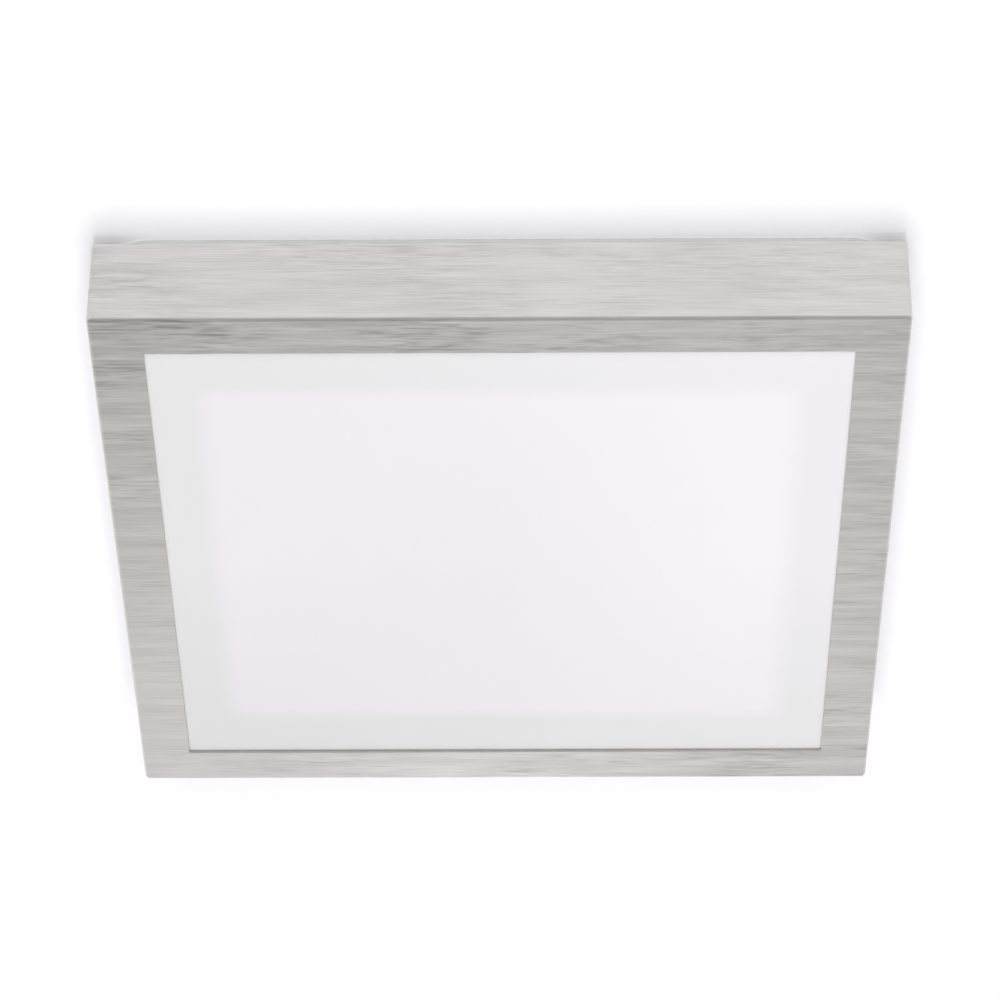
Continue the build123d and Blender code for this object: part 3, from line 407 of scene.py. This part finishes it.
# Heights of the surfaces' relief
PEEL_DEPTH = 0.02 * MM
METAL_DEPTH = 0.006 * MM
FROST_DEPTH = 0.004 * MM
INSULATION_DEPTH = 0.004 * MM
TRACK_HEIGHT = 0.05 * MM

# Sizes of their grain
FROST_GRAIN = 0.5 * MM
MASK_GRAIN = 0.7 * MM
INSULATION_RIPPLE, INSULATION_CLOUD = 0.8 * MM, 2 * MM

# How far a roughness goes up and down with the grain
METAL_ROUGHNESS_SPREAD = 0.05
PLASTIC_ROUGHNESS_SPREAD = 0.04

# Rows of lamps across the pan, one strip each
LAMP_STRIPS = 4

# Copper tracks run along each lamp strip, between these distances from its middle line
TRACK_INNER, TRACK_OUTER = 3.3 * MM, 4.9 * MM
TRACK_BLUR = 0.08 * MM

# The earth wire's stripes look to this side along Y and Z, and green ends between these leans
STRIPE_Y, STRIPE_Z = 0.6, -0.8
GREEN_ENDS = (0.52, 0.58)


def powder_coat(name):
    """Steel sheet with white polyester powder coat, oven cured: satin, a faint orange peel."""
    made, tree = start(name)
    peel = grain(tree, (sizes().orange_peel,) * 3, 1.5)
    surface(tree, {
        "Base Color": varied(tree, colours().powder, PAINT_DRIFT),
        "Roughness": add_node(tree, RANGE, peel, *USUAL, 0.36, 0.44),
        "Normal": add_node(tree, BUMP, inputs={"Height": peel, "Distance": PEEL_DEPTH}),
    })
    return made


def plated_metal(name, code, roughness, marks_size):
    """Plated or bare metal, with rolling or turning marks of a size in mm along X, Y and Z."""
    made, tree = start(name)
    shade = shade_of(code)
    marked = [s * METAL_MARK for s in shade]
    marks = grain(tree, [s * MM for s in marks_size])
    clean = add_node(tree, RANGE, marks, *USUAL, 0.0, 1.0)
    plate = {COLOUR_A: solid(marked), COLOUR_B: solid(shade)}
    rough, smooth = roughness + METAL_ROUGHNESS_SPREAD, roughness - METAL_ROUGHNESS_SPREAD
    surface(tree, {
        "Base Color": add_node(tree, MIX, clean, inputs=plate, data_type="RGBA"),
        "Metallic": 1.0,
        "Roughness": add_node(tree, RANGE, marks, *USUAL, rough, smooth),
        "Normal": add_node(tree, BUMP, inputs={"Height": marks, "Distance": METAL_DEPTH}),
    })
    return made


def moulded(name, code, roughness, grain_size, depth, ior):
    """Moulded or extruded plastic or rubber: one colour through, with its mould's grain."""
    made, tree = start(name)
    spark = grain(tree, (size_of(grain_size),) * 3)
    smooth, rough = roughness - PLASTIC_ROUGHNESS_SPREAD, roughness + PLASTIC_ROUGHNESS_SPREAD
    surface(tree, {
        "Base Color": varied(tree, shade_of(code), PLASTIC_DRIFT),
        "Roughness": add_node(tree, RANGE, spark, *USUAL, smooth, rough),
        "IOR": ior,
        "Normal": add_node(tree, BUMP, inputs={"Height": spark, "Distance": depth * MM}),
    })
    return made


def striped_insulation(name):
    """Extruded PVC, green with the yellow stripe of an earth conductor: a smooth low gloss."""
    made, tree = start(name)
    add = partial(add_node, tree)
    _, facing_y, facing_z = add(AXES, add(COORDINATES).outputs["Normal"]).outputs
    aside = add(MATHS, facing_y, STRIPE_Y, operation="MULTIPLY")
    lean = add(MATHS, facing_z, STRIPE_Z, aside, operation="MULTIPLY_ADD")
    lean = add(MATHS, lean, operation="ABSOLUTE")
    green = add(RANGE, lean, *GREEN_ENDS, 1.0, 0.0, interpolation_type="SMOOTHSTEP")
    stripes = {COLOUR_A: solid(linear("#E3CC1E")), COLOUR_B: solid(linear("#2F8A34"))}
    skin = {"Height": grain(tree, (INSULATION_RIPPLE,) * 3), "Distance": INSULATION_DEPTH}
    surface(tree, {
        "Base Color": add(MIX, green, inputs=stripes, data_type="RGBA"),
        "Roughness": add(RANGE, grain(tree, (INSULATION_CLOUD,) * 3), *USUAL, 0.3, 0.38),
        "IOR": 1.53,
        "Normal": add(BUMP, inputs=skin),
    })
    return made


def lamp_strip_mask(name):
    """Aluminium board under white solder mask: satin white, the copper tracks raised beneath."""
    made, tree = start(name)
    add = partial(add_node, tree)
    _, y, _ = add(AXES, add(COORDINATES).outputs["Object"]).outputs
    low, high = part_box("led_strip_1")
    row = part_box("led_strip_2")[0].y - low.y
    # the rows' number is added so that the remainder is of a positive number
    to_rows = LAMP_STRIPS * row - (low.y + high.y) / 2 + row / 2
    across = add(MATHS, add(MATHS, y, to_rows, operation="ADD"), row, operation="MODULO")
    off = add(MATHS, add(MATHS, across, row / 2, operation="SUBTRACT"), operation="ABSOLUTE")
    in_outer, in_inner = [
        add(RANGE, off, edge - TRACK_BLUR, edge + TRACK_BLUR, 1.0, 0.0,
            interpolation_type="SMOOTHSTEP")
        for edge in (TRACK_OUTER, TRACK_INNER)
    ]
    beyond_inner = add(MATHS, 1.0, in_inner, operation="SUBTRACT")
    tracks = add(MATHS, in_outer, beyond_inner, operation="MULTIPLY")
    mask = {COLOUR_A: solid(linear("#F0F0EC")), COLOUR_B: solid(linear("#E7E8E2"))}
    surface(tree, {
        "Base Color": add(MIX, tracks, inputs=mask, data_type="RGBA"),
        "Roughness": add(RANGE, grain(tree, (MASK_GRAIN,) * 3), *USUAL, 0.3, 0.4),
        "Coat Weight": 0.3,
        "Normal": add(BUMP, inputs={"Height": tracks, "Distance": TRACK_HEIGHT}),
    })
    return made


def clear_resin(name):
    """Moulded clear acrylic, lightly frosted: the cap over a lamp."""
    made, tree = start(name)
    frost = grain(tree, (FROST_GRAIN,) * 3)
    resin = {COLOUR_A: solid(linear("#F2F5F6")), COLOUR_B: WHITE}
    surface(tree, {
        "Base Color": add_node(tree, MIX, frost, inputs=resin, data_type="RGBA"),
        "Roughness": add_node(tree, RANGE, frost, *USUAL, 0.12, 0.22),
        "IOR": 1.49,
        "Transmission Weight": 0.85,
        "Normal": add_node(tree, BUMP, inputs={"Height": frost, "Distance": FROST_DEPTH}),
    })
    return made


# Colour, roughness, and the size in mm of the marks along X, Y and Z
METALS = {
    # bright zinc with a faint blue passivation and turning marks
    "steel_zinc_plated_turned": ("#C4C9CF", 0.3, (1.5, 1.5, 0.25)),
    # blued spring strip with the long marks of the rolls
    "spring_steel_rolled": ("#9DA3AB", 0.26, (0.2, 0.2, 12.0)),
    # stamped contact strip under a soft, warm tin plate
    "copper_tin_plated_stamped": ("#D9CDB4", 0.34, (0.3, 4.0, 0.3)),
    # bright reflowed solder
    "solder_tin_reflowed": ("#D3D5D8", 0.24, (0.5, 0.5, 0.5)),
}

# Colour, roughness, grain and relief in mm, and IOR
PLASTICS = {
    # closed-cell foam strip: matt and finely pitted
    "polyethylene_foam_cut": ("#D0D0CE", 0.85, 0.5, 0.05, 1.5),
    # moulded grommet rubber: dark grey and dull with a bloom
    "rubber_grey_moulded": ("#55565A", 0.62, 0.4, 0.01, 1.52),
    # vacuum-formed reflector sheet: matt, so that it scatters the lamps' light
    "polystyrene_white_formed": ("light_box", 0.6, 0.7, 0.01, 1.59),
    # glass-filled nylon: a dull, slightly warm white
    "nylon_white_moulded": ("moulding", 0.48, "spark_grain", 0.01, 1.53),
    # driver's casing: white with a fine spark-eroded texture
    "polycarbonate_white_spark": ("moulding", 0.5, "spark_grain", 0.02, 1.58),
    # push buttons: slick, even orange
    "acetal_orange_moulded": ("button", 0.36, "spark_grain", 0.004, 1.48),
    # glass-epoxy board under green solder mask, showing its weave
    "epoxy_glass_green_mask": ("#1F6B40", 0.3, 0.5, 0.01, 1.55),
    # clear-gloss yellow tape, wound round the transformer
    "polyester_tape_yellow_wound": ("#DDBE3B", 0.22, 3.0, 0.02, 1.6),
    # heat-shrunk capacitor sleeve: black and glossy
    "pvc_sleeve_black_shrunk": ("#1B1C20", 0.28, 2.0, 0.01, 1.54),
    # sintered and tumbled ferrite: dull dark grey
    "ferrite_sintered": ("#2E2E31", 0.6, 0.4, 0.02, 2.0),
    # extruded wire insulation: one colour each, a smooth low gloss
    "pvc_brown_extruded": ("#5E3A20", 0.34, 1.5, 0.004, 1.53),
    "pvc_blue_extruded": ("#2A5CA8", 0.34, 1.5, 0.004, 1.53),
    "pvc_red_extruded": ("#B3221E", 0.34, 1.5, 0.004, 1.53),
    "pvc_black_extruded": ("#202124", 0.34, 1.5, 0.004, 1.53),
    "pvc_white_extruded": ("#E6E6E4", 0.34, 1.5, 0.004, 1.53),
    # lamp chip's package, pressed and fired: smooth, warm white
    "ceramic_white_pressed": ("#EDEBE4", 0.42, 0.3, 0.004, 1.6),
    # yellow phosphor in clear silicone, cast as a low glossy drop
    "silicone_phosphor_cast": ("#EBCB4A", 0.2, 0.2, 0.002, 1.41),
}

OTHERS = {
    "nickel_plated_steel_belt_brushed": brushed_nickel,
    "opal_acrylic_satin": opal_acrylic,
    "steel_white_powder_coat": powder_coat,
    "pvc_green_yellow_extruded": striped_insulation,
    "white_solder_mask_on_aluminium": lamp_strip_mask,
    "acrylic_clear_moulded": clear_resin,
}


def material(name):
    """Find a finished material, or make it once."""
    made = bpy.data.materials.get(name)
    if made:
        return made
    if name in METALS:
        return plated_metal(name, *METALS[name])
    if name in PLASTICS:
        return moulded(name, *PLASTICS[name])
    return OTHERS[name](name)


# ---------------------------------------------------------------- pieces

# Shank's radius and thread's pitch in metres
CLIP_STUD = (1.5 * MM, 0.35 * MM)
EARTH_STUD = (2.0 * MM, 0.7 * MM)
LIGHT_BOX_SCREW = (1.5 * MM, 0.5 * MM)
STRIP_SCREW = (1.25 * MM, 0.45 * MM)
DRIVER_SCREW = (1.7 * MM, 0.6 * MM)

# Shape of a thread's ridge: its foot inside the shank, its half height as a share of the pitch,
# and the steps in one turn
RIDGE_FOOT = 0.96
RIDGE_HALF = 0.42
RIDGE_STEPS = 18

# How far the ridges run past a stud's end or stay clear of the pan's raised fields
PAST_CLIP_STUD = 0.2 * MM
PAST_EARTH_STUD = 0.3 * MM
CLEAR_OF_FIELD = 0.05 * MM

# Phosphor drop in the well of a lamp chip
DROP_RADIUS = 1.33 * MM
DROP_HEIGHT = 0.2 * MM
WELL_DEPTH = 0.22 * MM

# Solder at a strip's connector: places in mm along X from its end and along Y from its middle
SOLDER_RADIUS = 0.75 * MM
SOLDER_HEIGHT = 0.35 * MM
SOLDER_SPOTS = ((1.1, -2.2), (1.1, 2.2), (4.0, -2.2), (4.0, 2.2))


def dress(finished, *names):
    """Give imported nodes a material."""
    for name in names:
        mesh = nodes[name].data
        mesh.materials.clear()
        mesh.materials.append(finished)


def add_piece(name, shape, finished, body):
    """Turn a bmesh into a piece of the object that rides on a body."""
    mesh = bpy.data.meshes.new(name)
    shape.to_mesh(mesh)
    shape.free()
    mesh.materials.append(finished)
    for face in mesh.polygons:
        face.use_smooth = True
    made = bpy.data.objects.new(name, mesh)
    bpy.context.scene.collection.objects.link(made)
    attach(made, body)


def dome(shape, centre, radius, height, rings=4, spokes=20):
    """Add a shallow closed dome that hangs below its centre."""
    top = shape.verts.new(centre + Vector((0, 0, -height)))
    last = None
    for ring in range(1, rings + 1):
        out = radius * ring / rings
        drop = height * (1 - (ring / rings) ** 2)
        circle = [
            shape.verts.new(centre + Vector((out * math.cos(turn), out * math.sin(turn), -drop)))
            for turn in [2 * math.pi * spoke / spokes for spoke in range(spokes)]
        ]
        for i in range(spokes):
            after = (i + 1) % spokes
            if last is None:
                shape.faces.new((top, circle[after], circle[i]))
            else:
                shape.faces.new((last[i], last[after], circle[after], circle[i]))
        last = circle
    shape.faces.new(last)


def thread(shape, centre, low, high, radius, pitch):
    """Add one helical ridge round an upright shank, running out at both ends."""
    depth = sizes().thread_depth
    root = radius * RIDGE_FOOT
    foot = pitch * RIDGE_HALF
    count = int((high - low - pitch) / pitch * RIDGE_STEPS)
    last = None
    for step in range(count + 1):
        turn = 2 * math.pi * step / RIDGE_STEPS
        height = low + pitch / 2 + pitch * step / RIDGE_STEPS
        fade = min(1.0, step / RIDGE_STEPS, (count - step) / RIDGE_STEPS)
        section = [
            shape.verts.new(centre + Vector((r * math.cos(turn), r * math.sin(turn), z)))
            for r, z in (
                (root, height - foot), (radius + depth * fade, height), (root, height + foot)
            )
        ]
        if last is None:
            shape.faces.new(section)
        else:
            for i in range(3):
                after = (i + 1) % 3
                shape.faces.new((last[i], section[i], section[after], last[after]))
        last = section
    shape.faces.new(last[::-1])


def islands(name):
    """Boxes of a node's separate solids, as lowest and highest corners.

    Corners that meet within a micrometre are one, and the boxes go from near to far and from
    left to right, to a hundredth of a millimetre.
    """
    mesh = nodes[name].data
    parent = list(range(len(mesh.vertices)))
    spots = {}
    for vertex in mesh.vertices:
        key = tuple(round(c, 6) for c in vertex.co)
        parent[vertex.index] = spots.setdefault(key, vertex.index)

    def root(i):
        while parent[i] != i:
            parent[i] = parent[parent[i]]
            i = parent[i]
        return i

    for edge in mesh.edges:
        a, b = (root(i) for i in edge.vertices)
        parent[a] = b
    boxes = {}
    for vertex in mesh.vertices:
        group = root(vertex.index)
        low, high = boxes.get(group, (vertex.co.copy(), vertex.co.copy()))
        boxes[group] = (Vector(map(min, low, vertex.co)), Vector(map(max, high, vertex.co)))
    return sorted(boxes.values(), key=lambda box: (round(box[0].y, 5), round(box[0].x, 5)))


def thread_piece(name, shanks, size, low, high, body):
    """Thread every shank of a node, between two heights."""
    shape = bmesh.new()
    for box_low, box_high in islands(shanks):
        middle = (box_low + box_high) / 2
        thread(shape, Vector((middle.x, middle.y, 0)), low, high, *size)
    bmesh.ops.recalc_face_normals(shape, faces=shape.faces)
    add_piece(name, shape, material("steel_zinc_plated_turned"), body)


def screw_tips(name, screws, size):
    """Thread the ends of screws that stand out of the pan's back."""
    low = CLEAR_OF_FIELD - sizes().field_depth
    thread_piece(name, screws, size, low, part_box(screws)[1].z, "pan")


class CEILINGLIGHT_OT_frame(bpy.types.Operator):
    """Brush the folded frame"""

    bl_idname = "ceiling_light.frame"
    bl_label = "Front frame"

    def execute(self, context):
        dress(material("nickel_plated_steel_belt_brushed"), "front_frame")
        return {"FINISHED"}


class CEILINGLIGHT_OT_sheet(bpy.types.Operator):
    """Finish the opal sheet and the foam under its edge"""

    bl_idname = "ceiling_light.sheet"
    bl_label = "Opal sheet"

    def execute(self, context):
        dress(material("opal_acrylic_satin"), "diffuser")
        dress(material("polyethylene_foam_cut"), "diffuser_gasket")
        return {"FINISHED"}


class CEILINGLIGHT_OT_turn_clips(bpy.types.Operator):
    """Finish the turn clips, their nuts and their threaded studs"""

    bl_idname = "ceiling_light.turn_clips"
    bl_label = "Turn clips"

    def execute(self, context):
        clips = [name for name in nodes if name.startswith("turn_clip_")]
        dress(material("steel_zinc_plated_turned"), "clip_studs", "clip_nuts", *clips)
        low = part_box("clip_nuts")[1].z
        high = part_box("clip_studs")[1].z + PAST_CLIP_STUD
        thread_piece("clip_stud_threads", "clip_studs", CLIP_STUD, low, high, "cover")
        return {"FINISHED"}


class CEILINGLIGHT_OT_pan(bpy.types.Operator):
    """Paint the ceiling pan and finish its spring clips and grommet"""

    bl_idname = "ceiling_light.pan"
    bl_label = "Ceiling pan"

    def execute(self, context):
        dress(material("steel_white_powder_coat"), "ceiling_pan")
        springs = [name for name in nodes if name.startswith("spring_clip_")]
        dress(material("spring_steel_rolled"), *springs)
        dress(material("rubber_grey_moulded"), "cable_grommet")
        return {"FINISHED"}


class CEILINGLIGHT_OT_light_box(bpy.types.Operator):
    """Finish the light box and its screws"""

    bl_idname = "ceiling_light.light_box"
    bl_label = "Light box"

    def execute(self, context):
        dress(material("polystyrene_white_formed"), "light_box")
        dress(material("steel_zinc_plated_turned"), "light_box_screws")
        screw_tips("light_box_screw_threads", "light_box_screws", LIGHT_BOX_SCREW)
        return {"FINISHED"}


class CEILINGLIGHT_OT_lamps(bpy.types.Operator):
    """Finish the lamp strips, and add the phosphor in the chips and the connectors' solder"""

    bl_idname = "ceiling_light.lamps"
    bl_label = "Lamp strips"

    def execute(self, context):
        phosphor = bmesh.new()
        solder = bmesh.new()
        for number in range(1, LAMP_STRIPS + 1):
            dress(material("white_solder_mask_on_aluminium"), f"led_strip_{number}")
            dress(material("ceramic_white_pressed"), f"led_chips_{number}")
            dress(material("acrylic_clear_moulded"), f"led_lenses_{number}")
            for low, high in islands(f"led_chips_{number}"):
                middle = (low + high) / 2
                spot = Vector((middle.x, middle.y, low.z + WELL_DEPTH))
                dome(phosphor, spot, DROP_RADIUS, DROP_HEIGHT)
        for low, high in islands("strip_connectors"):
            for x, y in SOLDER_SPOTS:
                spot = Vector((high.x + x * MM, (low.y + high.y) / 2 + y * MM, high.z))
                dome(solder, spot, SOLDER_RADIUS, SOLDER_HEIGHT, rings=3, spokes=14)
        dress(material("nylon_white_moulded"), "strip_connectors")
        dress(material("steel_zinc_plated_turned"), "strip_screws")
        screw_tips("strip_screw_threads", "strip_screws", STRIP_SCREW)
        drops = material("silicone_phosphor_cast")
        add_piece("phosphor_drops", phosphor, drops, "pan")
        joints = material("solder_tin_reflowed")
        add_piece("strip_solder", solder, joints, "pan")
        return {"FINISHED"}


class CEILINGLIGHT_OT_driver(bpy.types.Operator):
    """Finish the driver's casing and what is inside it"""

    bl_idname = "ceiling_light.driver"
    bl_label = "Driver"

    def execute(self, context):
        dress(material("polycarbonate_white_spark"), "driver_case", "driver_lid")
        dress(material("steel_zinc_plated_turned"), "driver_screws")
        screw_tips("driver_screw_threads", "driver_screws", DRIVER_SCREW)
        dress(material("epoxy_glass_green_mask"), "driver_board")
        dress(material("polyester_tape_yellow_wound"), "driver_transformer")
        dress(material("pvc_sleeve_black_shrunk"), "driver_capacitors")
        dress(material("ferrite_sintered"), "driver_choke")
        dress(material("nylon_white_moulded"), "driver_sockets")
        return {"FINISHED"}


class CEILINGLIGHT_OT_terminal(bpy.types.Operator):
    """Finish the supply terminal, its buttons and contacts, and the earth stud"""

    bl_idname = "ceiling_light.terminal"
    bl_label = "Terminal and earth"

    def execute(self, context):
        dress(material("nylon_white_moulded"), "terminal_body")
        dress(material("copper_tin_plated_stamped"), "terminal_contacts", "earth_lug")
        buttons = [name for name in nodes if name.startswith("release_button_")]
        dress(material("acetal_orange_moulded"), *buttons)
        zinc = material("steel_zinc_plated_turned")
        dress(zinc, "earth_stud", "earth_washer", "earth_nut")
        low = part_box("earth_stud")[0].z - PAST_EARTH_STUD
        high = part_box("earth_nut")[0].z
        thread_piece("earth_stud_thread", "earth_stud", EARTH_STUD, low, high, "pan")
        return {"FINISHED"}


class CEILINGLIGHT_OT_wires(bpy.types.Operator):
    """Finish the wires and the saddles that hold them"""

    bl_idname = "ceiling_light.wires"
    bl_label = "Wires"

    def execute(self, context):
        dress(material("pvc_brown_extruded"), "live_wire")
        dress(material("pvc_blue_extruded"), "neutral_wire")
        dress(material("pvc_green_yellow_extruded"), "earth_wire")
        dress(material("pvc_red_extruded"), "lamp_plus_wire")
        dress(material("pvc_black_extruded"), "lamp_minus_wire")
        dress(material("pvc_white_extruded"), "strip_jumpers")
        dress(material("nylon_white_moulded"), "wire_saddles")
        return {"FINISHED"}


# ---------------------------------------------------------------- stage

ROOM_HALF = 20.0
CEILING_GAP = 0.3 * MM      # keeps the ceiling clear of the pan's back

# Light that the camera alone sees in the paint, near the object and far from it
CEILING_DAYLIGHT = (0.17, 0.95)
FLOOR_DAYLIGHT = (0.75, 0.75)
DAYLIGHT_FROM, DAYLIGHT_TO = 0.5, 2.5

# White that metal and glass mirror: its strengths, and the distances along Y between which it
# grows, which shift a little with X
MIRROR_NEAR, MIRROR_FAR = 0.59, 1.10
MIRROR_FROM, MIRROR_TO = 1.2, 5.0
MIRROR_SHIFT = -0.1

AMBIENT = 0.22

# Name, spot, aim, width, height, watts, and whether glossy faces show the lamp
LAMPS = (
    ("key_lamp", (0.0, 0.5, -2.2), (0.0, 0.5, 0.0), 1.0, 1.6, 26.5, False),
    ("front_lamp", (0.0, -1.7, -1.0), (0.0, 0.0, 0.0), 1.2, 1.2, 19.5, False),
    ("left_lamp", (-1.8, 0.8, 1.0), (0.0, 0.0, 0.0), 1.0, 1.0, 24.0, False),
    ("right_lamp", (1.8, 0.8, 1.0), (0.0, 0.0, 0.0), 1.0, 1.0, 24.0, False),
    ("far_lamp", (0.0, 2.3, -1.2), (0.0, 0.0, 0.0), 0.5, 0.6, 0.6, True),
    ("wall_lamp", (0.2, -2.0, 1.6), (0.0, 0.0, 0.0), 2.4, 1.2, 0.4, True),
)

# Photograph's camera, fitted to the corners of the light
CAMERA_SPOT = (0.0125, -1.3644, -1.0483)
CAMERA_YAW, CAMERA_PITCH, CAMERA_ROLL = -0.566, 37.316, 0.147
CAMERA_LENS, CAMERA_SENSOR = 156.67, 36.0
CAMERA_NEAREST, CAMERA_FARTHEST = 0.01, 100.0


def stage_white(name, daylight, one_sided):
    """Matt white paint: pale to the camera, with the object's soft shadow on it, and brighter
    towards the far side in reflections. One-sided paint is clear from behind."""
    made, tree = start(name)
    add = partial(add_node, tree)
    pale = solid(colours().floor)
    spot = add(COORDINATES).outputs["Object"]
    x, y, _ = add(AXES, spot).outputs
    away = add(VECTOR, spot, operation="LENGTH")
    strength = add(RANGE, away, DAYLIGHT_FROM, DAYLIGHT_TO, *daylight)
    paint = add("ShaderNodeBsdfDiffuse", pale)
    seen = add("ShaderNodeAddShader", paint, add(EMISSION, pale, strength))
    shifted = add(MATHS, x, MIRROR_SHIFT, y, operation="MULTIPLY_ADD")
    sweep = add(RANGE, shifted, MIRROR_FROM, MIRROR_TO, MIRROR_NEAR, MIRROR_FAR)
    rays = add("ShaderNodeLightPath").outputs
    mirrored = add(MATHS, rays["Is Glossy Ray"], rays["Is Transmission Ray"], operation="MAXIMUM")
    shown = add(SHADER_MIX, rays["Is Camera Ray"], paint, seen)
    shown = add(SHADER_MIX, mirrored, shown, add(EMISSION, WHITE, sweep))
    if one_sided:
        behind = add("ShaderNodeNewGeometry").outputs["Backfacing"]
        shown = add(SHADER_MIX, behind, shown, add("ShaderNodeBsdfTransparent"))
    add("ShaderNodeOutputMaterial", shown)
    return made


def add_plane(name, height, facing_down, paint):
    """Add a large flat square of the stage, facing up or down."""
    shape = bmesh.new()
    corners = [
        shape.verts.new((x * ROOM_HALF, y * ROOM_HALF, height))
        for x, y in ((-1, -1), (1, -1), (1, 1), (-1, 1))
    ]
    shape.faces.new(corners[::-1] if facing_down else corners)
    mesh = bpy.data.meshes.new(name)
    shape.to_mesh(mesh)
    shape.free()
    mesh.materials.append(paint)
    made = bpy.data.objects.new(name, mesh)
    bpy.context.scene.collection.objects.link(made)
    return made


def add_lamp(name, spot, aim, width, height, watts, mirrored):
    """Add a soft rectangular lamp that points at a spot, and shows in gloss only if mirrored."""
    lamp = bpy.data.lights.new(name, "AREA")
    lamp.shape = "RECTANGLE"
    lamp.size, lamp.size_y, lamp.energy = width, height, watts
    made = bpy.data.objects.new(name, lamp)
    made.location = spot
    made.rotation_euler = (Vector(aim) - Vector(spot)).to_track_quat("-Z", "Y").to_euler()
    made.visible_camera = False
    made.visible_glossy = mirrored
    bpy.context.scene.collection.objects.link(made)


def light_world():
    """Make a white world: plain white to the camera and in reflections, softer as light."""
    world = bpy.data.worlds.new("studio")
    bpy.context.scene.world = world
    world.use_nodes = True
    world.node_tree.nodes.clear()
    add = partial(add_node, world.node_tree)
    rays = add("ShaderNodeLightPath").outputs
    seen = add(MATHS, rays["Is Camera Ray"], rays["Is Transmission Ray"], operation="MAXIMUM")
    seen = add(MATHS, seen, rays["Is Glossy Ray"], operation="MAXIMUM")
    light = add("ShaderNodeBackground", WHITE, AMBIENT)
    white = add("ShaderNodeBackground", WHITE, 1.0)
    add("ShaderNodeOutputWorld", add(SHADER_MIX, seen, light, white))


def add_camera():
    """Add the photograph's camera."""
    camera_data = bpy.data.cameras.new("camera")
    camera_data.sensor_width = CAMERA_SENSOR
    camera_data.lens = CAMERA_LENS
    camera_data.clip_start, camera_data.clip_end = CAMERA_NEAREST, CAMERA_FARTHEST
    camera = bpy.data.objects.new("camera", camera_data)
    bpy.context.scene.collection.objects.link(camera)
    yaw, pitch, roll = (math.radians(a) for a in (CAMERA_YAW, CAMERA_PITCH, CAMERA_ROLL))
    flat = math.cos(pitch)
    ahead = Vector((math.sin(yaw) * flat, math.cos(yaw) * flat, math.sin(pitch)))
    right = Vector((math.cos(yaw), -math.sin(yaw), 0.0))
    above = right.cross(ahead)
    tilted_right = math.cos(roll) * right + math.sin(roll) * above
    tilted_above = -math.sin(roll) * right + math.cos(roll) * above
    turn = Matrix((tilted_right, tilted_above, -ahead)).transposed().to_4x4()
    camera.matrix_world = Matrix.Translation(CAMERA_SPOT) @ turn
    return camera


class CEILINGLIGHT_OT_stage(bpy.types.Operator):
    """Set up the ceiling, floor, lamps and the camera of the photograph"""

    bl_idname = "ceiling_light.stage"
    bl_label = "Stage"

    def execute(self, context):
        context.scene.view_settings.view_transform = "Standard"
        light_world()
        paint = stage_white("ceiling_matt_white", CEILING_DAYLIGHT, one_sided=True)
        ceiling = add_plane("ceiling", CEILING_GAP, True, paint)
        for rays in ("visible_diffuse", "visible_glossy", "visible_transmission", "visible_shadow"):
            setattr(ceiling, rays, False)
        paint = stage_white("floor_matt_white", FLOOR_DAYLIGHT, one_sided=False)
        add_plane("floor", -sizes().floor_drop, False, paint)
        for lamp in LAMPS:
            add_lamp(*lamp)
        context.scene.camera = add_camera()
        return {"FINISHED"}


STEPS = (
    CEILINGLIGHT_OT_frame,
    CEILINGLIGHT_OT_sheet,
    CEILINGLIGHT_OT_turn_clips,
    CEILINGLIGHT_OT_pan,
    CEILINGLIGHT_OT_light_box,
    CEILINGLIGHT_OT_lamps,
    CEILINGLIGHT_OT_driver,
    CEILINGLIGHT_OT_terminal,
    CEILINGLIGHT_OT_wires,
    CEILINGLIGHT_OT_stage,
)


class CEILINGLIGHT_PT_panel(bpy.types.Panel):
    """Colours, sizes and steps of the ceiling light"""

    bl_label = "Ceiling Light"
    bl_idname = "CEILINGLIGHT_PT_panel"
    bl_space_type = "VIEW_3D"
    bl_region_type = "UI"
    bl_category = "Ceiling Light"

    def draw(self, context):
        for group in (context.scene.ceiling_light_colours, context.scene.ceiling_light_sizes):
            box = self.layout.box()
            for name in group.__annotations__:
                box.prop(group, name)
        for step in STEPS:
            self.layout.operator(step.bl_idname)


CLASSES = (LightColours, LightSizes, *STEPS, CEILINGLIGHT_PT_panel)


def register():
    """Add the light's settings, steps and panel to Blender."""
    for made in CLASSES:
        bpy.utils.register_class(made)
    bpy.types.Scene.ceiling_light_colours = PointerProperty(type=LightColours)
    bpy.types.Scene.ceiling_light_sizes = PointerProperty(type=LightSizes)


def unregister():
    """Take them out again."""
    del bpy.types.Scene.ceiling_light_sizes
    del bpy.types.Scene.ceiling_light_colours
    for made in reversed(CLASSES):
        bpy.utils.unregister_class(made)


def main():
    """Finish every piece in order."""
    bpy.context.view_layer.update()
    register()
    bpy.ops.ceiling_light.frame()
    bpy.ops.ceiling_light.sheet()
    bpy.ops.ceiling_light.turn_clips()
    bpy.ops.ceiling_light.pan()
    bpy.ops.ceiling_light.light_box()
    bpy.ops.ceiling_light.lamps()
    bpy.ops.ceiling_light.driver()
    bpy.ops.ceiling_light.terminal()
    bpy.ops.ceiling_light.wires()
    bpy.ops.ceiling_light.stage()


if __name__ == "__main__":
    main()
